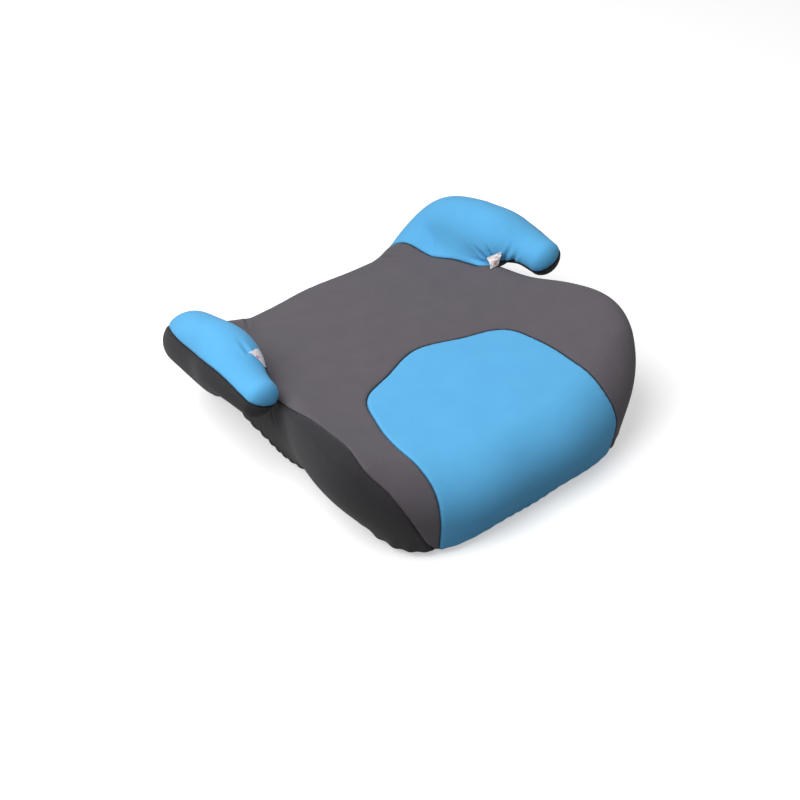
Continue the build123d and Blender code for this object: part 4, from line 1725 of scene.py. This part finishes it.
@dataclass(frozen=True)
class HemStitching:
    """The overlock thread round the hem: slanting stitches side by side, crossing over the folded edge."""

    inset: float = 5.5
    pitch: float = 3.2
    length: float = 6.0
    thickness: float = 0.8
    slant_deg: float = 52.0
    steps: int = 360
    seam_distance: float = 60.0

    def tree(self) -> bpy.types.NodeTree:
        """Make the node tree that lays one stitch after another along a line.

        Returns:
            The tree, whose inputs are the line, the stitches' sizes and their thread.
        """
        tree = bpy.data.node_groups.new("hem_stitches", "GeometryNodeTree")
        face = tree.interface
        face.new_socket("Geometry", in_out="INPUT", socket_type="NodeSocketGeometry")
        for name in ("Pitch", "Length", "Thickness", "Slant"):
            face.new_socket(name, in_out="INPUT", socket_type="NodeSocketFloat")
        face.new_socket("Thread", in_out="INPUT", socket_type="NodeSocketMaterial")
        face.new_socket("Geometry", in_out="OUTPUT", socket_type="NodeSocketGeometry")
        given = add_node(tree, "NodeGroupInput").outputs
        line = add_node(tree, "GeometryNodeMeshToCurve", inputs={"Mesh": given["Geometry"]})
        even = add_node(tree, "GeometryNodeResampleCurve", {"mode": "LENGTH"}, {
            "Curve": line, "Length": given["Pitch"]})
        along = add_node(tree, "GeometryNodeInputTangent")
        aimed = add_node(tree, "FunctionNodeAlignRotationToVector", {"axis": "X"}, {"Vector": along})
        index = add_node(tree, "GeometryNodeInputIndex")
        odd = add_node(tree, "ShaderNodeMath", {"operation": "MODULO"}, {0: index, 1: 2.0})
        side = add_node(tree, "ShaderNodeMath", {"operation": "MULTIPLY_ADD"}, {0: odd, 1: 2.0, 2: -1.0})
        lean = add_node(tree, "ShaderNodeMath", {"operation": "MULTIPLY"}, {0: side, 1: given["Slant"]})
        turn = add_node(tree, "FunctionNodeAxisAngleToRotation", inputs={"Axis": (0.0, 0.0, 1.0), "Angle": lean})
        turned = add_node(tree, "FunctionNodeRotateRotation", {"rotation_space": "GLOBAL"}, {0: aimed, 1: turn})
        stitch = add_node(tree, "GeometryNodeMeshUVSphere", inputs={"Segments": 8, "Rings": 5, "Radius": 0.5})
        size = add_node(tree, "ShaderNodeCombineXYZ", inputs={
            0: given["Length"], 1: given["Thickness"], 2: given["Thickness"]})
        laid = add_node(tree, "GeometryNodeInstanceOnPoints", inputs={
            "Points": even, "Instance": stitch, "Rotation": turned, "Scale": size})
        smooth = add_node(tree, "GeometryNodeSetShadeSmooth", inputs={0: laid})
        real = add_node(tree, "GeometryNodeRealizeInstances", inputs={0: smooth})
        dressed = add_node(tree, "GeometryNodeSetMaterial", inputs={"Geometry": real, "Material": given["Thread"]})
        add_node(tree, "NodeGroupOutput", inputs={"Geometry": dressed})
        return tree

    def build(self, cover: Cover, thread: bpy.types.Material) -> bpy.types.Object:
        """Lay the stitches on the underside of the cover, round its opening.

        Args:
            cover: the cover, whose hem line and folds they follow.
            thread: the thread's material.

        Returns:
            The stitches, as one plain mesh.
        """
        turn = np.linspace(-math.pi, math.pi, self.steps, endpoint=False)
        reach = cover.hem_reach()(turn) + self.inset
        flat = np.stack([reach * np.sin(turn), -reach * np.cos(turn),
                         np.full(self.steps, cover.shape.body.bottom)], 1)
        line = flat + cover.relief(flat, np.full(self.steps, self.seam_distance))
        mesh = bpy.data.meshes.new("hem_line")
        mesh.from_pydata([tuple(point) for point in line * MM],
                         [(k, (k + 1) % self.steps) for k in range(self.steps)], [])
        piece = show("hem_stitches", mesh)
        worker = piece.modifiers.new("stitches", "NODES")
        worker.node_group = self.tree()
        wanted = {"Pitch": self.pitch * MM, "Length": self.length * MM, "Thickness": self.thickness * MM,
                  "Slant": math.radians(self.slant_deg), "Thread": thread}
        for item in worker.node_group.interface.items_tree:
            if item.in_out == "INPUT" and item.name in wanted:
                worker[item.identifier] = wanted[item.name]
        bake_modifiers(piece)
        return piece


# ---------------------------------------------------------------- stage


@dataclass(frozen=True)
class Studio:
    """Camera, soft light and pale floor, in metres."""

    azimuth_deg: float = -39.46
    elevation_deg: float = 38.10
    distance: float = 1.5335
    target: tuple[float, float, float] = (0.0, 0.0, 0.080)
    focal_mm: float = 67.75
    sensor_mm: float = 36.0
    shift: tuple[float, float] = (-0.0240, -0.0545)
    clip_end: float = 50.0
    sky: float = 0.30
    lamp_watts: float = 30.0
    lamp_size: float = 1.7
    lamp_place: tuple[float, float, float] = (-0.85, 0.15, 1.58)
    floor_half: float = 9.0
    floor_seen: str = "#f4f4f4"
    floor_unseen: str = "#7c7c7c"
    floor_lift: float = 0.44

    @staticmethod
    def aim(item: bpy.types.Object, place: np.ndarray, back: np.ndarray, right: np.ndarray) -> None:
        """Put a camera or a lamp in its place and turn it.

        Args:
            item: the camera or the lamp.
            place: where it stands.
            back: the way from what it looks at to it.
            right: the way to its right.
        """
        turn = Matrix(np.stack([right, np.cross(back, right), back], 1).tolist()).to_4x4()
        item.matrix_world = Matrix.Translation(place) @ turn

    def camera(self) -> None:
        """Place the camera."""
        a, e = math.radians(self.azimuth_deg), math.radians(self.elevation_deg)
        back = np.array([math.sin(a) * math.cos(e), -math.cos(a) * math.cos(e), math.sin(e)])
        data = bpy.data.cameras.new("camera")
        data.lens = self.focal_mm
        data.sensor_width = self.sensor_mm
        data.shift_x, data.shift_y = self.shift
        data.clip_end = self.clip_end
        camera = show("camera", data)
        self.aim(camera, self.target + back * self.distance, back, np.array([math.cos(a), math.sin(a), 0.0]))
        bpy.context.scene.camera = camera

    def light(self) -> None:
        """Hang a broad lamp overhead and to the left, in an even sky that the camera sees as white."""
        data = bpy.data.lights.new("overhead", "AREA")
        data.shape = "DISK"
        data.size = self.lamp_size
        data.energy = self.lamp_watts
        back = unit(np.array(self.lamp_place))
        self.aim(show("overhead", data), self.lamp_place, back, unit(np.cross([0, 1, 0], back)))
        world = bpy.data.worlds.new("sky")
        bpy.context.scene.world = world
        world.use_nodes = True
        tree = world.node_tree
        tree.nodes.clear()
        seen = self.seen_by(tree, "Is Camera Ray", "Is Transmission Ray", "Is Glossy Ray")
        strength = add_node(tree, "ShaderNodeMix", {"data_type": "FLOAT"}, {"Factor": seen, "A": self.sky, "B": 1.0})
        sky = add_node(tree, "ShaderNodeBackground", inputs={
            "Color": linear("#ffffff"), "Strength": strength.outputs["Result"]})
        add_node(tree, "ShaderNodeOutputWorld", inputs={"Surface": sky})

    @staticmethod
    def seen_by(tree: bpy.types.NodeTree, *rays: str) -> bpy.types.NodeSocket:
        """Tell some kinds of ray from the rest.

        Args:
            tree: the tree that asks.
            rays: the kinds, by the Light Path node's names.

        Returns:
            A socket that is one for those kinds.
        """
        path = add_node(tree, "ShaderNodeLightPath").outputs
        seen = path[rays[0]]
        for ray in rays[1:]:
            seen = add_node(tree, "ShaderNodeMath", {"operation": "MAXIMUM"}, {0: seen, 1: path[ray]}).outputs[0]
        return seen

    def floor(self) -> None:
        """Lay a wide pale floor that keeps the seat's shadow."""
        corners = np.array([[-1, -1, 0], [1, -1, 0], [1, 1, 0], [-1, 1, 0]]) * self.floor_half / MM
        piece = to_mesh("floor", Surface(corners, np.array([[0, 1, 2], [0, 2, 3]])))
        material, tree = new_material("floor_paper")
        seen = self.seen_by(tree, "Is Camera Ray", "Is Glossy Ray")
        tone = add_node(tree, "ShaderNodeMix", {"data_type": "RGBA"}, {
            "Factor": seen, "A": linear(self.floor_unseen), "B": linear(self.floor_seen)})
        paper = add_node(tree, "ShaderNodeBsdfDiffuse", inputs={"Color": tone.outputs["Result"]})
        lift = add_node(tree, "ShaderNodeMath", {"operation": "MULTIPLY"}, {0: seen, 1: self.floor_lift})
        glow = add_node(tree, "ShaderNodeEmission", inputs={"Color": linear("#ffffff"), "Strength": lift})
        both = add_node(tree, "ShaderNodeAddShader", inputs={0: paper, 1: glow})
        add_node(tree, "ShaderNodeOutputMaterial", inputs={"Surface": both})
        piece.data.materials.append(material)

    def set_view(self) -> None:
        """Show colours as they are written."""
        bpy.context.scene.view_settings.view_transform = "Standard"


# ---------------------------------------------------------------- the seat


@dataclass(frozen=True)
class Cut:
    """How one panel is cut, in metres, and the finish slot it belongs to."""

    width: float
    length: float
    area: float
    slot: str


SIDES = ("left", "right")
ARMREST_FOAMS = ("root", "arm")
CUTS = {
    Panel.SEAT: Cut(0.43, 0.47, 0.100, "fabric_grey"),
    Panel.INSERT: Cut(0.23, 0.31, 0.060, "fabric_blue"),
    Panel.REAR: Cut(0.19, 0.12, 0.018, "fabric_charcoal"),
    Panel.SIDE_RIGHT: Cut(0.42, 0.16, 0.045, "fabric_charcoal"),
    Panel.SIDE_LEFT: Cut(0.42, 0.16, 0.050, "fabric_charcoal"),
    Panel.HORN_INNER_RIGHT: Cut(0.20, 0.14, 0.018, "fabric_blue"),
    Panel.HORN_INNER_LEFT: Cut(0.20, 0.14, 0.018, "fabric_blue"),
    Panel.HORN_OUTER_RIGHT: Cut(0.20, 0.12, 0.014, "fabric_charcoal"),
    Panel.HORN_OUTER_LEFT: Cut(0.20, 0.12, 0.014, "fabric_charcoal"),
}


def place_piece(piece: bpy.types.Object, slot: str, *nodes: str) -> None:
    """Let a piece ride on the seat and report it.

    Args:
        piece: the piece.
        slot: its finish slot; not used.
        nodes: the CAD nodes it stands for.
    """
    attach(piece, ROOT)
    if nodes:
        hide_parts(*nodes)
    log.info("%s: %d faces", piece.name, len(piece.data.polygons))


def add_cover(cover: Cover) -> None:
    """Add the cover's panels and the stitches round its hem.

    Args:
        cover: the cover.
    """
    fabric = {
        "fabric_grey": KnitFabric("knit_grey", "#686369", "#59555b").material(),
        "fabric_blue": KnitFabric("knit_blue", "#66bcef", "#59afe6").material(),
        "fabric_charcoal": KnitFabric("knit_charcoal", "#38373a", "#2c2b2e").material(),
    }
    for panel, piece in cover.build().items():
        pattern = CUTS[panel]
        piece.data.materials.append(fabric[pattern.slot])
        place_piece(piece, pattern.slot, panel.value)
    place_piece(HemStitching().build(cover, SewingThread().material()), "fabric_charcoal")


def add_padding(shape: SeatShape) -> None:
    """Add the foam pieces.

    Args:
        shape: the covered seat.
    """
    foam = SeatFoam().material()
    cores = [FoamCore("seat_foam")]
    cores += [FoamCore(f"armrest_foam_{part}_{side}", voxel=2.5) for part in ARMREST_FOAMS for side in SIDES]
    for core in cores:
        piece = core.build(shape)
        piece.data.materials.append(foam)
        place_piece(piece, "foam", core.node)


def add_mouldings(shape: SeatShape) -> None:
    """Add the hard shells and the base plate.

    Args:
        shape: the covered seat.
    """
    shell = MouldedPlastic("polypropylene_shell", "#2b2b2d").material()
    materials = {"base_shell": shell,
                 "base_plate": MouldedPlastic("polypropylene_plate", "#313133", roughness=0.56).material()}
    materials |= {f"armrest_shell_{half}_{side}": shell for half in ("inner", "outer") for side in SIDES}
    for node, material in materials.items():
        piece = InnerMoulding(node).build(shape)
        piece.data.materials.append(material)
        place_piece(piece, "plastic_shell", node)


def add_labels(shape: SeatShape) -> None:
    """Add the two wash labels.

    Args:
        shape: the covered seat.
    """
    labels = (
        WashLabel("wash_label_right", ((142, 50.8, 96.2), (151, 50, 97), (154, 47.8, 117.2), (144.5, 60.2, 106.9)),
                  21, LabelSatin("label_satin_faded", "#c98a80", (0.55, 0.45), 0.2, bars=0.6)),
        WashLabel("wash_label_left", ((-152, 50, 112), (-161, 40, 122), (-168, 53, 136), (-156, 61, 128)),
                  31, LabelSatin("label_satin_spot", "#c8357f", (0.86, 0.6), 0.13, bars=0.25)),
    )
    for label in labels:
        piece = label.build(shape)
        place_piece(piece, "label_satin", label.node)


def dress_hardware() -> None:
    """Give the CAD nodes that stay as they are their materials."""
    steel = ZincSteel().material()
    materials = {
        "hem_hooks": MouldedPlastic("acetal_hook", "#232325", roughness=0.38).material(),
        "hem_elastic": BraidedElastic().material(),
        "feet": MouldedRubber().material(),
        "base_screws": steel,
        "armrest_screws": steel,
        "armrest_bolts": steel,
        "armrest_washers": steel,
    }
    for name, material in materials.items():
        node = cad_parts[name]
        node.data.materials.clear()
        node.data.materials.append(material)
        log.info("%s: dressed", name)


def main() -> None:
    """Build the seat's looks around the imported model."""
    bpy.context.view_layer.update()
    studio = Studio()
    studio.camera()
    studio.light()
    studio.floor()
    studio.set_view()

    cover = Cover()
    add_cover(cover)
    add_padding(cover.shape)
    add_mouldings(cover.shape)
    add_labels(cover.shape)
    dress_hardware()


if __name__ == "__main__":
    main()
